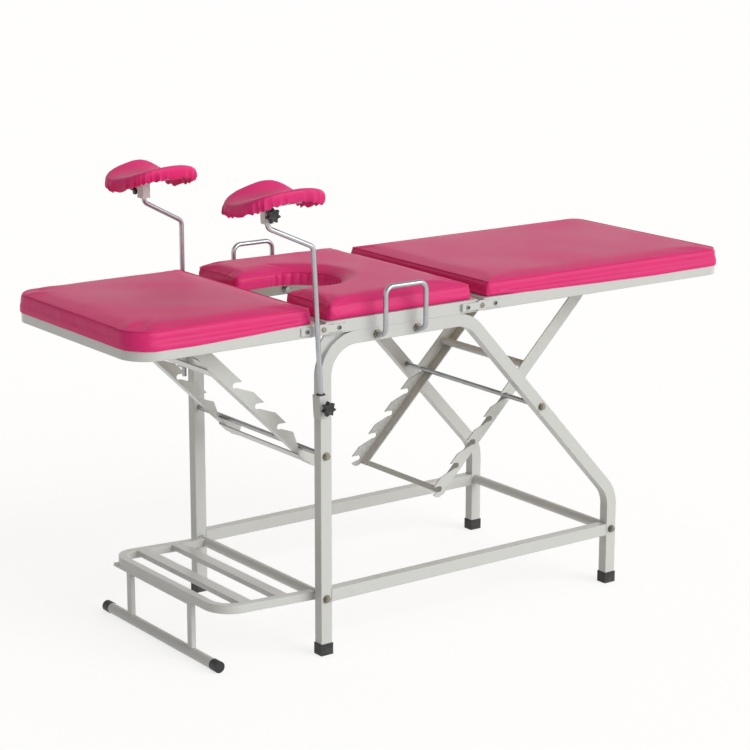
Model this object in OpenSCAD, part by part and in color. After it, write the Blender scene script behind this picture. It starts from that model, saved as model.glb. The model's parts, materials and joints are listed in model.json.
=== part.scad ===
// Gynaecological examination table in three sections, with a let-down leg section, a lifting back section,
// a fold-up step and two swivelling leg holders. X runs from foot to head, and -Y is the patient's left.

/* [Table] */
// Width over the side frames
frame_w = 580; // [520:10:660]
// Height of the side frames' top rails
rail_top_z = 772; // [740:2:800]
// Distance between the centres of the front and rear legs
base_l = 890; // [860:5:940]
// Length of the leg section's frame
leg_section_l = 478; // [440:1:560]
// Length of the seat section's frame
seat_section_l = 442; // [420:2:460]
// Length of the back section's frame
back_section_l = 792; // [700:1:820]
// Gap between two section frames at a hinge
hinge_gap = 18; // [18:1:20]

/* [Tubes] */
// Side frame tube, measured in the plane of the frame
tube_h = 30; // [26:1:34]
// Side frame tube, measured across the table
tube_w = 26; // [22:1:30]
// Wall of the frame tubes
tube_wall = 1.5; // [1:0.5:2.5]
// Bend radius of the side frame, on its centre line
side_bend_r = 85; // [70:5:90]
// Slope of the side frame's diagonal
diagonal_angle = 47.5; // [45:0.5:50]
// Height of the lower rails' centre line
lower_rail_z = 145; // [120:5:180]
// Diameter of the rear cross tube and the step's pivot tube
cross_tube_d = 25; // [20:1:28]
// Outer corner radius at the free end of the leg frame
leg_corner_r = 70; // [55:5:90]
// Outer corner radius at the free end of the back frame
back_corner_r = 44; // [36:2:60]

/* [Locking rods and struts] */
// Diameter of the two locking rods
rod_d = 12; // [10:1:13]
// Height of the front locking rod
front_rod_z = 486; // [476:2:496]
// Rear locking rod, behind the front legs
rear_rod_x = 648; // [640:2:656]
// Height of the rear locking rod
rear_rod_z = 506; // [500:2:512]
// Drop of the strut pivots under the section frames
pivot_drop = 12; // [12:1:16]
// Leg strut pivot, ahead of the front legs
leg_pivot_x = 283.6; // [280:1:290]
// Back strut pivot, behind the front legs
back_pivot_x = 902; // [896:1:908]
// Spacing of the leg strut's notches
leg_notch_pitch = 83; // [78:1:88]
// Spacing of the back strut's notches
back_notch_pitch = 74; // [70:1:78]
// Depth of a strut arm's web
arm_depth = 34; // [32:1:38]
// Thickness of the strut arms
arm_t = 3; // [2:0.5:4]
// Width of a strut arm's flange
flange_w = 30; // [20:1:36]
// Distance between the two arms of a strut
arm_spread = 344; // [300:4:380]

/* [Cushions] */
// Height of a cushion's side
cushion_side_h = 34; // [28:1:40]
// Rise of a cushion's crown above its side
cushion_crown = 10; // [3:1:14]
// Distance that a cushion reaches past a frame's free end
cushion_overhang = 4; // [0:1:8]
// Thickness of the boards under the cushions
board_t = 12; // [9:1:15]
// Radius of the seat's cut-out
cutout_r = 106; // [90:2:120]
// Centre of the cut-out's round end, behind the front legs
cutout_x = 120; // [110:2:130]

/* [Hand grips] */
// Diameter of the hand grips' rod
grip_d = 12; // [10:1:14]
// Distance of the first grip foot behind the front legs
grip_x = 145; // [130:5:160]
// Distance between the two feet of a hand grip
grip_l = 116; // [90:2:140]
// Height of a hand grip over the top rail's centre line
grip_h = 115; // [90:5:150]
// Distance of a hand grip outside the side frame
grip_out = 33; // [30:1:45]

/* [Leg holders] */
// Diameter of the leg holders' rod
holder_d = 12; // [10:1:13]
// Reach of the leg holder's bent arm
holder_reach = 111.5; // [90:0.5:150]
// Rise of the leg holder's bent arm
holder_rise = 58; // [40:1:80]
// Height of the lower bend over the socket's centre, with the holder let down
holder_bend_z = 341; // [300:1:420]
// How far the left holder is drawn out
left_drawn = 31; // [0:1:60]
// How far the left holder leans towards the feet
left_lean = 3.1; // [0:0.1:4]
// How far the leg holders are turned inwards
holder_swivel = 5.6; // [0:0.1:20]
// Length of a knee pad
pad_l = 270; // [230:5:290]
// Width of a knee pad
pad_w = 150; // [120:5:170]

/* [Step] */
// Reach of the step ahead of the front legs
step_reach = 274; // [220:2:290]
// Width over the step's loop
step_w = 508; // [470:2:512]
// Height of the step's tube
step_tube_h = 20; // [16:1:24]
// Width of the step's tube
step_tube_w = 20; // [16:1:24]
// Length of the step's foot bar
foot_bar_l = 520; // [420:10:540]
// Diameter of the step's foot bar
foot_bar_d = 26; // [20:1:30]
// Slope of the step's loop, up towards its free end
step_slope = 2.5; // [0:0.5:4]

/* [Hidden] */

// Overrun of every cut
over = 1;
// Radial gap around rods and bolts
play = 0.2;
// Gap beside soft and turning pieces
air = 0.3;
// Overlap of a rod's straight run with the bends beside it
seam = 0.3;
// A rod's bends are this much thicker than its straight runs, so each run ends inside a bend
bend_swell_share = 1.003;
// Sides of round pieces and of bends
round_fn = 48;

// Places along the table, with the middle of its whole length at 0
leg_reach = hinge_gap + leg_section_l + cushion_overhang;
back_reach = seat_section_l + hinge_gap + back_section_l + cushion_overhang;
front_x = (leg_reach - back_reach) / 2;
rear_x = front_x + base_l;
seat_end_x = front_x + seat_section_l;
front_hinge_x = front_x - hinge_gap / 2;
rear_hinge_x = seat_end_x + hinge_gap / 2;
// Planes across the table
side_y = frame_w / 2;
inner_y = side_y - tube_w;
tube_mid_y = side_y - tube_w / 2;
// Heights
rail_z = rail_top_z - tube_h / 2;
hinge_z = rail_top_z + tube_h / 2;
pad_z = rail_top_z + tube_h;

module both_sides() {
  children();
  mirror([0, 1, 0]) children();
}

// A block between two corners
module block(low, high) {
  translate(low) cube(high - low);
}

// A round bar along Y
module bar_y(x, z, y0, y1, r) {
  translate([x, y1, z]) rotate([90, 0, 0]) cylinder(h = y1 - y0, r = r, $fn = round_fn);
}

// A hexagon along Y
module hex_y(x, z, y0, y1, r) {
  translate([x, y1, z]) rotate([90, 0, 0]) cylinder(h = y1 - y0, r = r, $fn = 6);
}

// A shape drawn in X and Z, from one plane across the table to another
module across(y0, y1) {
  translate([0, y1, 0]) rotate([90, 0, 0]) linear_extrude(y1 - y0) children();
}

// A flat path with round bends. Its cross-section is the child.
function heading(a, b) = atan2(b[1] - a[1], b[0] - a[0]);
function wrapped(t) = t > 180 ? t - 360 : t < -180 ? t + 360 : t;
function turn(p, i) = wrapped(heading(p[i], p[i + 1]) - heading(p[i - 1], p[i]));
function trim(p, i, r) = i == 0 || i == len(p) - 1 ? 0 : r * tan(abs(turn(p, i)) / 2);
function toward(a, b, d) = a + d * (b - a) / norm(b - a);
function stretched(p, d) = [
  for (i = [0 : len(p) - 1])
    i == 0 ? toward(p[0], p[1], -d) : i == len(p) - 1 ? toward(p[i], p[i - 1], -d) : p[i]
];

module bent(path, r) {
  last = len(path) - 1;
  for (i = [0 : last - 1]) {
    start = toward(path[i], path[i + 1], trim(path, i, r) - (i == 0 ? 0 : seam));
    end = toward(path[i + 1], path[i], trim(path, i + 1, r) - (i == last - 1 ? 0 : seam));
    translate(start) rotate([0, 0, heading(path[i], path[i + 1])]) rotate([90, 0, 90])
      linear_extrude(norm(end - start)) children();
  }
  for (i = [1 : 1 : last - 1]) {
    t = turn(path, i);
    h = heading(path[i - 1], path[i]);
    start = toward(path[i], path[i - 1], trim(path, i, r));
    centre = start + (t > 0 ? r : -r) * [-sin(h), cos(h)];
    translate(centre) rotate([0, 0, t > 0 ? h - 90 : h + 90 + t])
      rotate_extrude(angle = abs(t), $fn = round_fn) translate([r, 0]) scale(bend_swell_share) children();
  }
}

// One edge of a flat path with round bends, at a distance to its left
bend_steps = 24;
function path_edge(p, r, out) = [
  for (i = [0 : len(p) - 1])
    if (i == 0 || i == len(p) - 1)
      let (h = i == 0 ? heading(p[0], p[1]) : heading(p[i - 1], p[i])) p[i] + out * [-sin(h), cos(h)]
    else
      let (t = turn(p, i), h = heading(p[i - 1], p[i]), side = sign(t),
           centre = toward(p[i], p[i - 1], trim(p, i, r)) + side * r * [-sin(h), cos(h)])
      for (k = [0 : bend_steps])
        let (a = h + t * k / bend_steps) centre + (out - side * r) * [-sin(a), cos(a)]
];
function backwards(list) = [for (i = [len(list) - 1 : -1 : 0]) list[i]];
module path_shape(p, r, w) {
  polygon(concat(path_edge(p, r, w / 2), backwards(path_edge(p, r, -w / 2))));
}

// A hollow box tube along a path. Its ends are open by a positive end, and closed by a negative one.
module tube_run(path, r, size, wall, end) {
  difference() {
    translate([0, 0, -size[1] / 2]) linear_extrude(size[1]) path_shape(path, r, size[0]);
    translate([0, 0, wall - size[1] / 2]) linear_extrude(size[1] - 2 * wall)
      path_shape(stretched(path, end), r, size[0] - 2 * wall);
  }
}

// A closed box tube with a vent hole underneath
vent_r = 3;
module closed_tube(low, high, wall) {
  inset = [wall, wall, wall];
  difference() {
    block(low, high);
    block(low + inset, high - inset);
    translate([(low[0] + high[0]) / 2, (low[1] + high[1]) / 2, low[2] - over])
      cylinder(h = wall + 2 * over, r = vent_r, $fn = round_fn);
  }
}

// Colours
module white_paint() { color([0.84, 0.86, 0.84]) children(); }
module chrome() { color([0.72, 0.73, 0.75]) children(); }
module dark_steel() { color([0.35, 0.35, 0.36]) children(); }
module zinc() { color([0.62, 0.58, 0.48]) children(); }
module black() { color([0.06, 0.06, 0.07]) children(); }
module pink() { color([0.85, 0.28, 0.5]) children(); }
module plywood() { color([0.75, 0.6, 0.4]) children(); }

// Side frames
foot_floor = 4;
foot_wall = 2;
foot_h = 28;
bolt_r = 4;
washer_t = 1.5;
washer_r = 10;
nut_r = 8;
nut_h = 6;
step_pivot_z = 139;
rod_r = rod_d / 2;
rear_rod_abs_x = front_x + rear_rod_x;
diagonal_top_x = rear_rod_abs_x - (rail_z - rear_rod_z) / tan(diagonal_angle);
diagonal_low_z = rear_rod_z - tan(diagonal_angle) * (rear_x - rear_rod_abs_x);
side_path = [
  [front_x, foot_floor], [front_x, rail_z], [diagonal_top_x, rail_z],
  [rear_x, diagonal_low_z], [rear_x, foot_floor]
];

module side_frame() {
  difference() {
    translate([0, -tube_mid_y, 0]) rotate([90, 0, 0])
      tube_run(side_path, side_bend_r, [tube_h, tube_w], tube_wall, over);
    bar_y(front_x, front_rod_z, -side_y - over, -inner_y + over, rod_r + play);
    bar_y(rear_rod_abs_x, rear_rod_z, -side_y - over, -inner_y + over, rod_r + play);
    bar_y(rear_x, lower_rail_z, -side_y - over, -inner_y + over, bolt_r + play);
    bar_y(front_x, step_pivot_z, -side_y - over, -inner_y + over, bolt_r + play);
    for (x = [front_x + grip_x, front_x + grip_x + grip_l])
      bar_y(x, rail_z, -side_y - over, -inner_y + over, grip_d / 2 + play);
  }
}

module left_side_frame() { white_paint() side_frame(); }
module right_side_frame() { white_paint() mirror([0, 1, 0]) side_frame(); }

module lower_rails() {
  white_paint() both_sides() difference() {
    block([front_x + tube_h / 2, -side_y, lower_rail_z - tube_h / 2],
          [rear_x - tube_h / 2, -inner_y, lower_rail_z + tube_h / 2]);
    block([front_x, -side_y + tube_wall, lower_rail_z - tube_h / 2 + tube_wall],
          [rear_x, -inner_y - tube_wall, lower_rail_z + tube_h / 2 - tube_wall]);
  }
}

// The cross tube has a plug at each end, drilled for its bolt
plug_l = 20;
module plugged_tube(x, z, half) {
  difference() {
    bar_y(x, z, -half, half, cross_tube_d / 2);
    bar_y(x, z, -half + plug_l, half - plug_l, cross_tube_d / 2 - tube_wall);
    bar_y(x, z, -half - over, half + over, bolt_r + play);
  }
}

module rear_cross_tube() { white_paint() plugged_tube(rear_x, lower_rail_z, inner_y); }

// Gusset plates outside the front bends, under the seat frame
gusset_t = 4;
gusset_h = 54;
gusset_l = 75;
gusset_cut_w = 20;
gusset_cut_h = 31;
module frame_gussets() {
  corner_x = front_x - tube_h / 2;
  bottom_z = rail_top_z - gusset_h;
  white_paint() both_sides() across(-tube_mid_y - gusset_t / 2, -tube_mid_y + gusset_t / 2) difference() {
    polygon([
      [corner_x, bottom_z], [corner_x + gusset_l, bottom_z],
      [corner_x + gusset_l, rail_top_z], [corner_x + gusset_cut_w, rail_top_z],
      [corner_x, rail_top_z - gusset_cut_h]
    ]);
    translate([front_x + side_bend_r, rail_z - side_bend_r])
      circle(r = side_bend_r + tube_h / 2, $fn = 2 * round_fn);
  }
}

module rubber_feet() {
  out = foot_wall;
  black() both_sides() for (x = [front_x, rear_x]) difference() {
    block([x - tube_h / 2 - out, -side_y - out, 0], [x + tube_h / 2 + out, -inner_y + out, foot_h]);
    block([x - tube_h / 2, -side_y, foot_floor], [x + tube_h / 2, -inner_y, foot_h + over]);
  }
}

// Locking rods, from leg to leg
module front_locking_rod() { dark_steel() bar_y(front_x, front_rod_z, -side_y, side_y, rod_r); }
module rear_locking_rod() { dark_steel() bar_y(rear_rod_abs_x, rear_rod_z, -side_y, side_y, rod_r); }

// Washer and nut on a leg's outer face
dome_share = 0.6;
module outer_nut(x, z) {
  bar_y(x, z, -side_y - washer_t, -side_y, washer_r);
  hex_y(x, z, -side_y - washer_t - nut_h, -side_y - washer_t, nut_r);
  bar_y(x, z, -side_y - washer_t - nut_h * (1 + dome_share / 2), -side_y - washer_t - nut_h, nut_r * dome_share);
}

module frame_bolts() {
  zinc() both_sides() {
    outer_nut(front_x, front_rod_z);
    outer_nut(rear_rod_abs_x, rear_rod_z);
    union() {
      outer_nut(rear_x, lower_rail_z);
      bar_y(rear_x, lower_rail_z, -side_y, -inner_y + plug_l, bolt_r);
    }
  }
}

module step_pivot_bolts() {
  zinc() both_sides() union() {
    outer_nut(front_x, step_pivot_z);
    bar_y(front_x, step_pivot_z, -side_y, -inner_y + plug_l, bolt_r);
  }
}

// Section frames
module side_tubes(x0, x1) {
  both_sides() closed_tube([x0, -side_y, rail_top_z], [x1, -inner_y, pad_z], tube_wall);
}
// A cross tube ends inside the side tubes' walls
module cross_tube(x, w) {
  y = inner_y + tube_wall / 2;
  closed_tube([x - w / 2, -y, rail_top_z], [x + w / 2, y, pad_z], tube_wall);
}

module seat_frame() {
  white_paint() {
    side_tubes(front_x, seat_end_x);
    cross_tube(front_x + tube_w / 2, tube_w);
    cross_tube(seat_end_x - tube_w / 2, tube_w);
  }
}

// A frame that runs from its hinge end to a free end with round corners, drawn along +X
module section_frame(l, pivot, corner_r) {
  mid_r = corner_r - tube_w / 2;
  mid_l = l - tube_w / 2;
  translate([0, 0, hinge_z])
    tube_run([[0, -tube_mid_y], [mid_l, -tube_mid_y], [mid_l, tube_mid_y], [0, tube_mid_y]],
             mid_r, [tube_w, tube_h], tube_wall, -tube_wall);
  cross_tube(tube_w / 2, tube_w);
  cross_tube(pivot, tube_w);
}

// The leg section runs towards -X from its hinge end, and the back section towards +X
leg_end_x = front_x - hinge_gap;
back_end_x = seat_end_x + hinge_gap;
leg_pivot_abs_x = front_x - leg_pivot_x;
back_pivot_abs_x = front_x + back_pivot_x;
module leg_side() { translate([leg_end_x, 0, 0]) mirror([1, 0, 0]) children(); }
module back_side() { translate([back_end_x, 0, 0]) children(); }

module leg_frame() {
  white_paint() leg_side() section_frame(leg_section_l, leg_end_x - leg_pivot_abs_x, leg_corner_r);
}
module back_frame() {
  white_paint() back_side() section_frame(back_section_l, back_pivot_abs_x - back_end_x, back_corner_r);
}

// Boards and cushions. Each is drawn along +X from its frame's hinge end.
cushion_in = 2;
cushion_y = side_y - cushion_in;
corner_trim = 4;
cushion_hinge_r = 12;
board_in = 14;
hinge_set_back = 11;
hinge_lean = 11;
side_draw = 5;
pocket_gap = 0.5;
// Heights of a cushion's rings as shares of its side, and how far each ring is drawn in
ring_height_share = [0, 0.25, 0.52, 0.8, 1];
ring_in_share = [1, 0.25, 0, 0.3, 1];
hinge_lean_share = [0, 0.18, 0.4, 0.68, 1];
// Places of the crown's rings, as shares of the way from the middle
crown_share = [0.965, 0.86, 0.66, 0.4, 0.15];
crown_power = 10;
side_bow = 2.5;
corner_steps = 5;
side_steps = 7;

function arc(cx, cy, r, from) = [
  for (i = [0 : corner_steps]) [cx + r * cos(from + 90 * i / corner_steps), cy + r * sin(from + 90 * i / corner_steps)]
];
// Points between two corners, drawn in along the way
function edge(a, b, bow) = [
  for (i = [1 : side_steps])
    let (share = i / (side_steps + 1), out = [b[1] - a[1], a[0] - b[0]] / norm(b - a))
    a + share * (b - a) - bow * sin(180 * share) * out
];
// One ring of a cushion, from its hinge end x0 to its free end x1
function ring(x0, x1, y, r0, r1, bow) = concat(
  arc(x1 - r1, y - r1, r1, 0), edge([x1 - r1, y], [x0 + r0, y], bow),
  arc(x0 + r0, y - r0, r0, 90), edge([x0, y - r0], [x0, -y + r0], 0),
  arc(x0 + r0, -y + r0, r0, 180), edge([x0 + r0, -y], [x1 - r1, -y], bow),
  arc(x1 - r1, -y + r1, r1, 270), edge([x1, -y + r1], [x1, y - r1], bow)
);
// Triangles between rings of n points. The last two points close the first and the last ring.
function skin(rings, n) = concat(
  [for (k = [0 : rings - 2], i = [0 : n - 1]) [k * n + i, (k + 1) * n + i, (k + 1) * n + (i + 1) % n]],
  [for (k = [0 : rings - 2], i = [0 : n - 1]) [k * n + i, (k + 1) * n + (i + 1) % n, k * n + (i + 1) % n]],
  [for (i = [0 : n - 1]) [i, (i + 1) % n, rings * n]],
  [for (i = [0 : n - 1]) [(rings - 1) * n + (i + 1) % n, (rings - 1) * n + i, rings * n + 1]]
);

// A crowned cushion. A free end has the frame's corner radius, and corner_r is 0 where both ends are hinge ends.
module cushion(l, corner_r) {
  free = corner_r > 0;
  x0 = hinge_set_back;
  x1 = free ? l + cushion_overhang : l - hinge_set_back;
  far_r = free ? corner_r - corner_trim : cushion_hinge_r;
  far_lean = free ? side_draw : hinge_lean;
  sides = [
    for (k = [0 : len(ring_in_share) - 1])
      let (
        far_in = free ? ring_in_share[k] * side_draw : hinge_lean_share[k] * hinge_lean,
        in = ring_in_share[k] * side_draw
      )
      [for (p = ring(x0 + hinge_lean_share[k] * hinge_lean, x1 - far_in, cushion_y - in,
                     cushion_hinge_r, far_r, side_bow))
        [p[0], p[1], pad_z + ring_height_share[k] * cushion_side_h]]
  ];
  rim = sides[len(sides) - 1];
  middle = [(x0 + hinge_lean + x1 - far_lean) / 2, 0];
  crown = [
    for (s = crown_share)
      [for (p = rim)
        [middle[0] + s * (p[0] - middle[0]), s * p[1],
         pad_z + cushion_side_h + cushion_crown * (1 - pow(s, crown_power))]]
  ];
  rings = concat(sides, crown);
  points = concat([for (r = rings, p = r) p], [
    [middle[0], 0, pad_z], [middle[0], 0, pad_z + cushion_side_h + cushion_crown]
  ]);
  polyhedron(points = points, faces = skin(len(rings), len(rim)), convexity = 4);
}

// A flat board drawn along +X, with two round corners at its free end
module board_shape(l, corner_r, grow) {
  x0 = hinge_set_back + board_in;
  r = corner_r - corner_trim - board_in;
  y = cushion_y - board_in + grow;
  x1 = l - board_in + grow;
  translate([x0 - grow, -y]) square([x1 - r - x0 + grow, 2 * y]);
  translate([x1 - r - over, -y + r]) square([r + over, 2 * (y - r)]);
  for (side = [-1, 1]) translate([x1 - r, side * (y - r)]) circle(r = r, $fn = round_fn);
}
module seat_board_shape(grow) {
  x0 = hinge_set_back + board_in - grow;
  y = cushion_y - board_in + grow;
  translate([x0, -y]) square([seat_section_l - 2 * x0, 2 * y]);
}
// The cut-out is a circle that opens towards the leg section
mouth_share = 0.92;
module cutout_shape(r) {
  circle_x = cutout_x;
  translate([circle_x, 0]) circle(r = r, $fn = 2 * round_fn);
  polygon([[-cutout_x, -r * mouth_share], [circle_x, -r], [circle_x, r], [-cutout_x, r * mouth_share]]);
}

band_gap = 10;
module board_slab(grow, rise) {
  translate([0, 0, pad_z - rise]) linear_extrude(board_t + rise + grow) children();
}

module seat_board() {
  plywood() translate([front_x, 0, 0]) board_slab(0, 0) difference() {
    seat_board_shape(0);
    cutout_shape(cutout_r + band_gap);
  }
}
module leg_board() { plywood() leg_side() board_slab(0, 0) board_shape(leg_section_l, leg_corner_r, 0); }
module back_board() { plywood() back_side() board_slab(0, 0) board_shape(back_section_l, back_corner_r, 0); }

module seat_cushion() {
  pink() translate([front_x, 0, 0]) difference() {
    cushion(seat_section_l, 0);
    translate([0, 0, pad_z - over]) linear_extrude(cushion_side_h + cushion_crown + 2 * over) cutout_shape(cutout_r);
    board_slab(0, over) difference() {
      seat_board_shape(pocket_gap);
      cutout_shape(cutout_r + band_gap - pocket_gap);
    }
  }
}
module section_cushion(l, corner_r) {
  difference() {
    cushion(l, corner_r);
    board_slab(0, over) board_shape(l, corner_r, pocket_gap);
  }
}
module leg_cushion() { pink() leg_side() section_cushion(leg_section_l, leg_corner_r); }
module back_cushion() { pink() back_side() section_cushion(back_section_l, back_corner_r); }

// Hand grips: a bridge of rod whose feet turn in and pass through the top rail
grip_bend_r = 20;
grip_nut_r = 11;
grip_foot_in = 12;
module hand_grip() {
  y = -side_y - grip_out;
  x0 = front_x + grip_x;
  x1 = x0 + grip_l;
  top = rail_z + grip_h;
  translate([0, y, 0]) rotate([90, 0, 0])
    bent([[x0, rail_z + grip_bend_r], [x0, top], [x1, top], [x1, rail_z + grip_bend_r]], grip_bend_r)
      circle(r = grip_d / 2, $fn = round_fn);
  for (x = [x0, x1]) translate([x, 0, 0]) rotate([90, 0, 90]) {
    translate([y + grip_bend_r, rail_z + grip_bend_r]) rotate([0, 0, 180])
      rotate_extrude(angle = 90, $fn = round_fn) translate([grip_bend_r, 0]) circle(r = grip_d / 2, $fn = round_fn);
    translate([y + grip_bend_r, rail_z]) rotate([90, 0, 90])
      cylinder(h = grip_out - grip_bend_r + tube_w + grip_foot_in, r = grip_d / 2, $fn = round_fn);
  }
}
module left_hand_grip() { chrome() hand_grip(); }
module right_hand_grip() { chrome() mirror([0, 1, 0]) hand_grip(); }

module hand_grip_nuts() {
  chrome() both_sides() for (x = [front_x + grip_x, front_x + grip_x + grip_l]) difference() {
    union() {
      hex_y(x, rail_z, -side_y - nut_h, -side_y, grip_nut_r);
      hex_y(x, rail_z, -inner_y, -inner_y + nut_h, grip_nut_r);
    }
    bar_y(x, rail_z, -side_y - nut_h - over, -inner_y + nut_h + over, grip_d / 2 + play);
  }
}

// Hinges, one at each side of each joint between sections
leaf_t = 3;
leaf_gap = 0.5;
eye_r = 11;
plate_half = 12.5;
leaf_l = 60;
leaf_h = 18;
hinge_pin_r = 4;
pin_head_r = 6;
pin_head_t = 2;
screw_x = 43;
screw_head_r = 5.5;
screw_head_t = 2.2;
leaf_foot_x = 30;

// A moving leaf lies on its frame, with its screw. It is drawn along +X from the pin.
module moving_leaf() {
  difference() {
    union() {
      across(-side_y - leaf_t, -side_y) {
        circle(r = eye_r, $fn = round_fn);
        translate([0, -leaf_h / 2]) square([leaf_l, leaf_h]);
      }
      bar_y(screw_x, 0, -side_y - leaf_t - screw_head_t, -side_y - leaf_t, screw_head_r);
    }
    bar_y(0, 0, -side_y - leaf_t - over, -side_y + over, hinge_pin_r + play / 2);
  }
}
// The fixed leaf is set out over the moving one, on a thick foot
module fixed_leaf() {
  face = side_y + leaf_t + leaf_gap;
  difference() {
    union() {
      across(-face - leaf_t, -face) {
        square(2 * plate_half, center = true);
        translate([0, -leaf_h / 2]) square([leaf_l, leaf_h]);
      }
      block([leaf_foot_x, -face, -leaf_h / 2], [leaf_l, -side_y, leaf_h / 2]);
      bar_y(screw_x, 0, -face - leaf_t - screw_head_t, -face - leaf_t, screw_head_r);
    }
    bar_y(0, 0, -face - leaf_t - over, -face + over, hinge_pin_r);
  }
}
module at_hinge(x) { translate([x, 0, hinge_z]) children(); }

module fixed_hinge_leaves() {
  white_paint() both_sides() {
    at_hinge(front_hinge_x) fixed_leaf();
    at_hinge(rear_hinge_x) mirror([1, 0, 0]) fixed_leaf();
  }
}
module leg_hinge_leaves() { white_paint() both_sides() at_hinge(front_hinge_x) mirror([1, 0, 0]) moving_leaf(); }
module back_hinge_leaves() { white_paint() both_sides() at_hinge(rear_hinge_x) moving_leaf(); }

module hinge_pins() {
  outer = side_y + 2 * leaf_t + leaf_gap;
  zinc() both_sides() for (x = [front_hinge_x, rear_hinge_x]) at_hinge(x) union() {
    bar_y(0, 0, -outer, -side_y + leaf_gap, hinge_pin_r);
    bar_y(0, 0, -outer - pin_head_t, -outer, pin_head_r);
    bar_y(0, 0, -side_y + leaf_gap, -side_y + leaf_gap + pin_head_t, pin_head_r);
  }
}

// Struts. A strut's profile is drawn along +X from its pivot, with the rod in a notch at rod_row.
rod_row = 16;
slot_r = rod_r + 1;
arm_end_r = 11;
arm_neck_l = 36;
flange_start = 24;
hook_cut_l = 60;
// Direction of a slot, and of the ramp that leads into it, in the profile
slot_angle = 44;
ramp_angle = 24;
arm_tail_l = 70;
back_tail_l = 23;
ear_t = 4;
ear_r = 10;
strut_pin_r = 4;

// Where the ramp starts along the slot, and how far it reaches, as shares
ramp_start_share = 0.9;
ramp_reach_share = 0.6;

// One slot with its lead-in ramp, around a rod centre at the origin
module notch(angle) {
  far = arm_depth;
  circle(r = slot_r, $fn = round_fn);
  rotate(angle) translate([0, -slot_r]) square([far, 2 * slot_r]);
  low = [slot_r * sin(angle), -slot_r * cos(angle)];
  start = low + slot_r * ramp_start_share * [cos(angle), sin(angle)];
  reach = ramp_reach_share * (rod_row + slot_r * 2) / sin(ramp_angle);
  end = start + reach * [cos(ramp_angle), sin(ramp_angle)];
  polygon([start, end, [end[0], far], start + far * [cos(angle), sin(angle)]]);
}

// A web of an arm. Where exit isn't 0, its last notch is open from its slot round to that direction.
module arm_profile(l, first, pitch, count, angle, exit) {
  difference() {
    union() {
      translate([0, rod_row]) circle(r = arm_end_r, $fn = round_fn);
      polygon([
        [0, rod_row - arm_end_r], [arm_neck_l, 0], [l - arm_depth / 2, 0],
        [l - arm_depth / 2, arm_depth], [arm_neck_l, arm_depth], [0, rod_row + arm_end_r]
      ]);
      translate([l - arm_depth / 2, arm_depth / 2]) circle(r = arm_depth / 2, $fn = round_fn);
    }
    for (i = [0 : count - 1]) translate([first + i * pitch, rod_row]) notch(angle);
    if (exit > 0) translate([first + (count - 1) * pitch, rod_row]) {
      rotate(exit) translate([0, play - slot_r]) square([hook_cut_l, 2 * (slot_r - play)]);
      polygon([[0, 0], hook_cut_l * [cos(angle), sin(angle)], hook_cut_l * [cos(exit), sin(exit)]]);
    }
    translate([0, rod_row]) circle(r = strut_pin_r + play, $fn = round_fn);
  }
}
module strut_arm(l, first, pitch, count, angle, exit) {
  across(-arm_t, 0) arm_profile(l, first, pitch, count, angle, exit);
  block([flange_start, 0, 0], [l - arm_depth / 2, flange_w - arm_t, arm_t]);
}

// A strut frame: its pivot, its slope and the side that its notches face
leg_d = norm([leg_pivot_x, rail_top_z - pivot_drop - front_rod_z]);
leg_slope = atan2(rail_top_z - pivot_drop - front_rod_z, leg_pivot_x);
back_dx = back_pivot_x - rear_rod_x;
back_dz = rail_top_z - pivot_drop - rear_rod_z;
back_d = norm([back_dx, back_dz]);
back_slope = atan2(back_dz, back_dx);
leg_shift = -12;
back_shift = 22;
leg_count = 4;
back_count = 5;
leg_first = leg_d - (leg_count - 1) * leg_notch_pitch;
leg_arm_l = leg_d + arm_tail_l;
back_arm_l = back_d + (back_count - 1) * back_notch_pitch + back_tail_l;
pivot_z = rail_top_z - pivot_drop;

module leg_strut_place() {
  translate([leg_pivot_abs_x, leg_shift, pivot_z]) rotate([0, leg_slope, 0]) translate([0, 0, -rod_row]) children();
}
module back_strut_place() {
  translate([back_pivot_abs_x, back_shift, pivot_z]) mirror([1, 0, 0]) rotate([0, back_slope, 0])
    translate([0, 0, -rod_row]) children();
}

// The rod leaves the leg strut's engaged notch in this direction
leg_exit = 154;
module leg_arm() {
  translate([0, -arm_spread / 2, 0])
    strut_arm(leg_arm_l, leg_first, leg_notch_pitch, leg_count, slot_angle, leg_exit);
}
module left_leg_strut_arm() { white_paint() leg_strut_place() leg_arm(); }
module right_leg_strut_arm() { white_paint() leg_strut_place() mirror([0, 1, 0]) leg_arm(); }

// The back strut hangs the other way up, so its notches face the feet
module back_arm() {
  translate([0, -arm_spread / 2, 0])
    strut_arm(back_arm_l, back_d, back_notch_pitch, back_count, slot_angle, 0);
}
module left_back_strut_arm() { white_paint() back_strut_place() back_arm(); }
module right_back_strut_arm() { white_paint() back_strut_place() mirror([0, 1, 0]) back_arm(); }

// Flat ties under the flanges
tie_w = 30;
tie_t = 3;
module tie(s, w) {
  y = arm_spread / 2 + arm_t;
  block([s - w / 2, -y, -tie_t], [s + w / 2, y, 0]);
}
leg_tie_share = [0.16, 0.9];
module leg_strut_ties() { white_paint() leg_strut_place() for (s = leg_tie_share) tie(s * leg_arm_l, tie_w); }
back_tie_share = 0.962;
back_tie_w = 14;
module back_strut_ties() { white_paint() back_strut_place() tie(back_tie_share * back_arm_l, back_tie_w); }
spreader_d = 20;
spreader_s = 262;
spreader_row = 14;
module back_strut_spreader() {
  white_paint() back_strut_place()
    bar_y(spreader_s, spreader_row, -arm_spread / 2, arm_spread / 2, spreader_d / 2);
}

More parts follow.
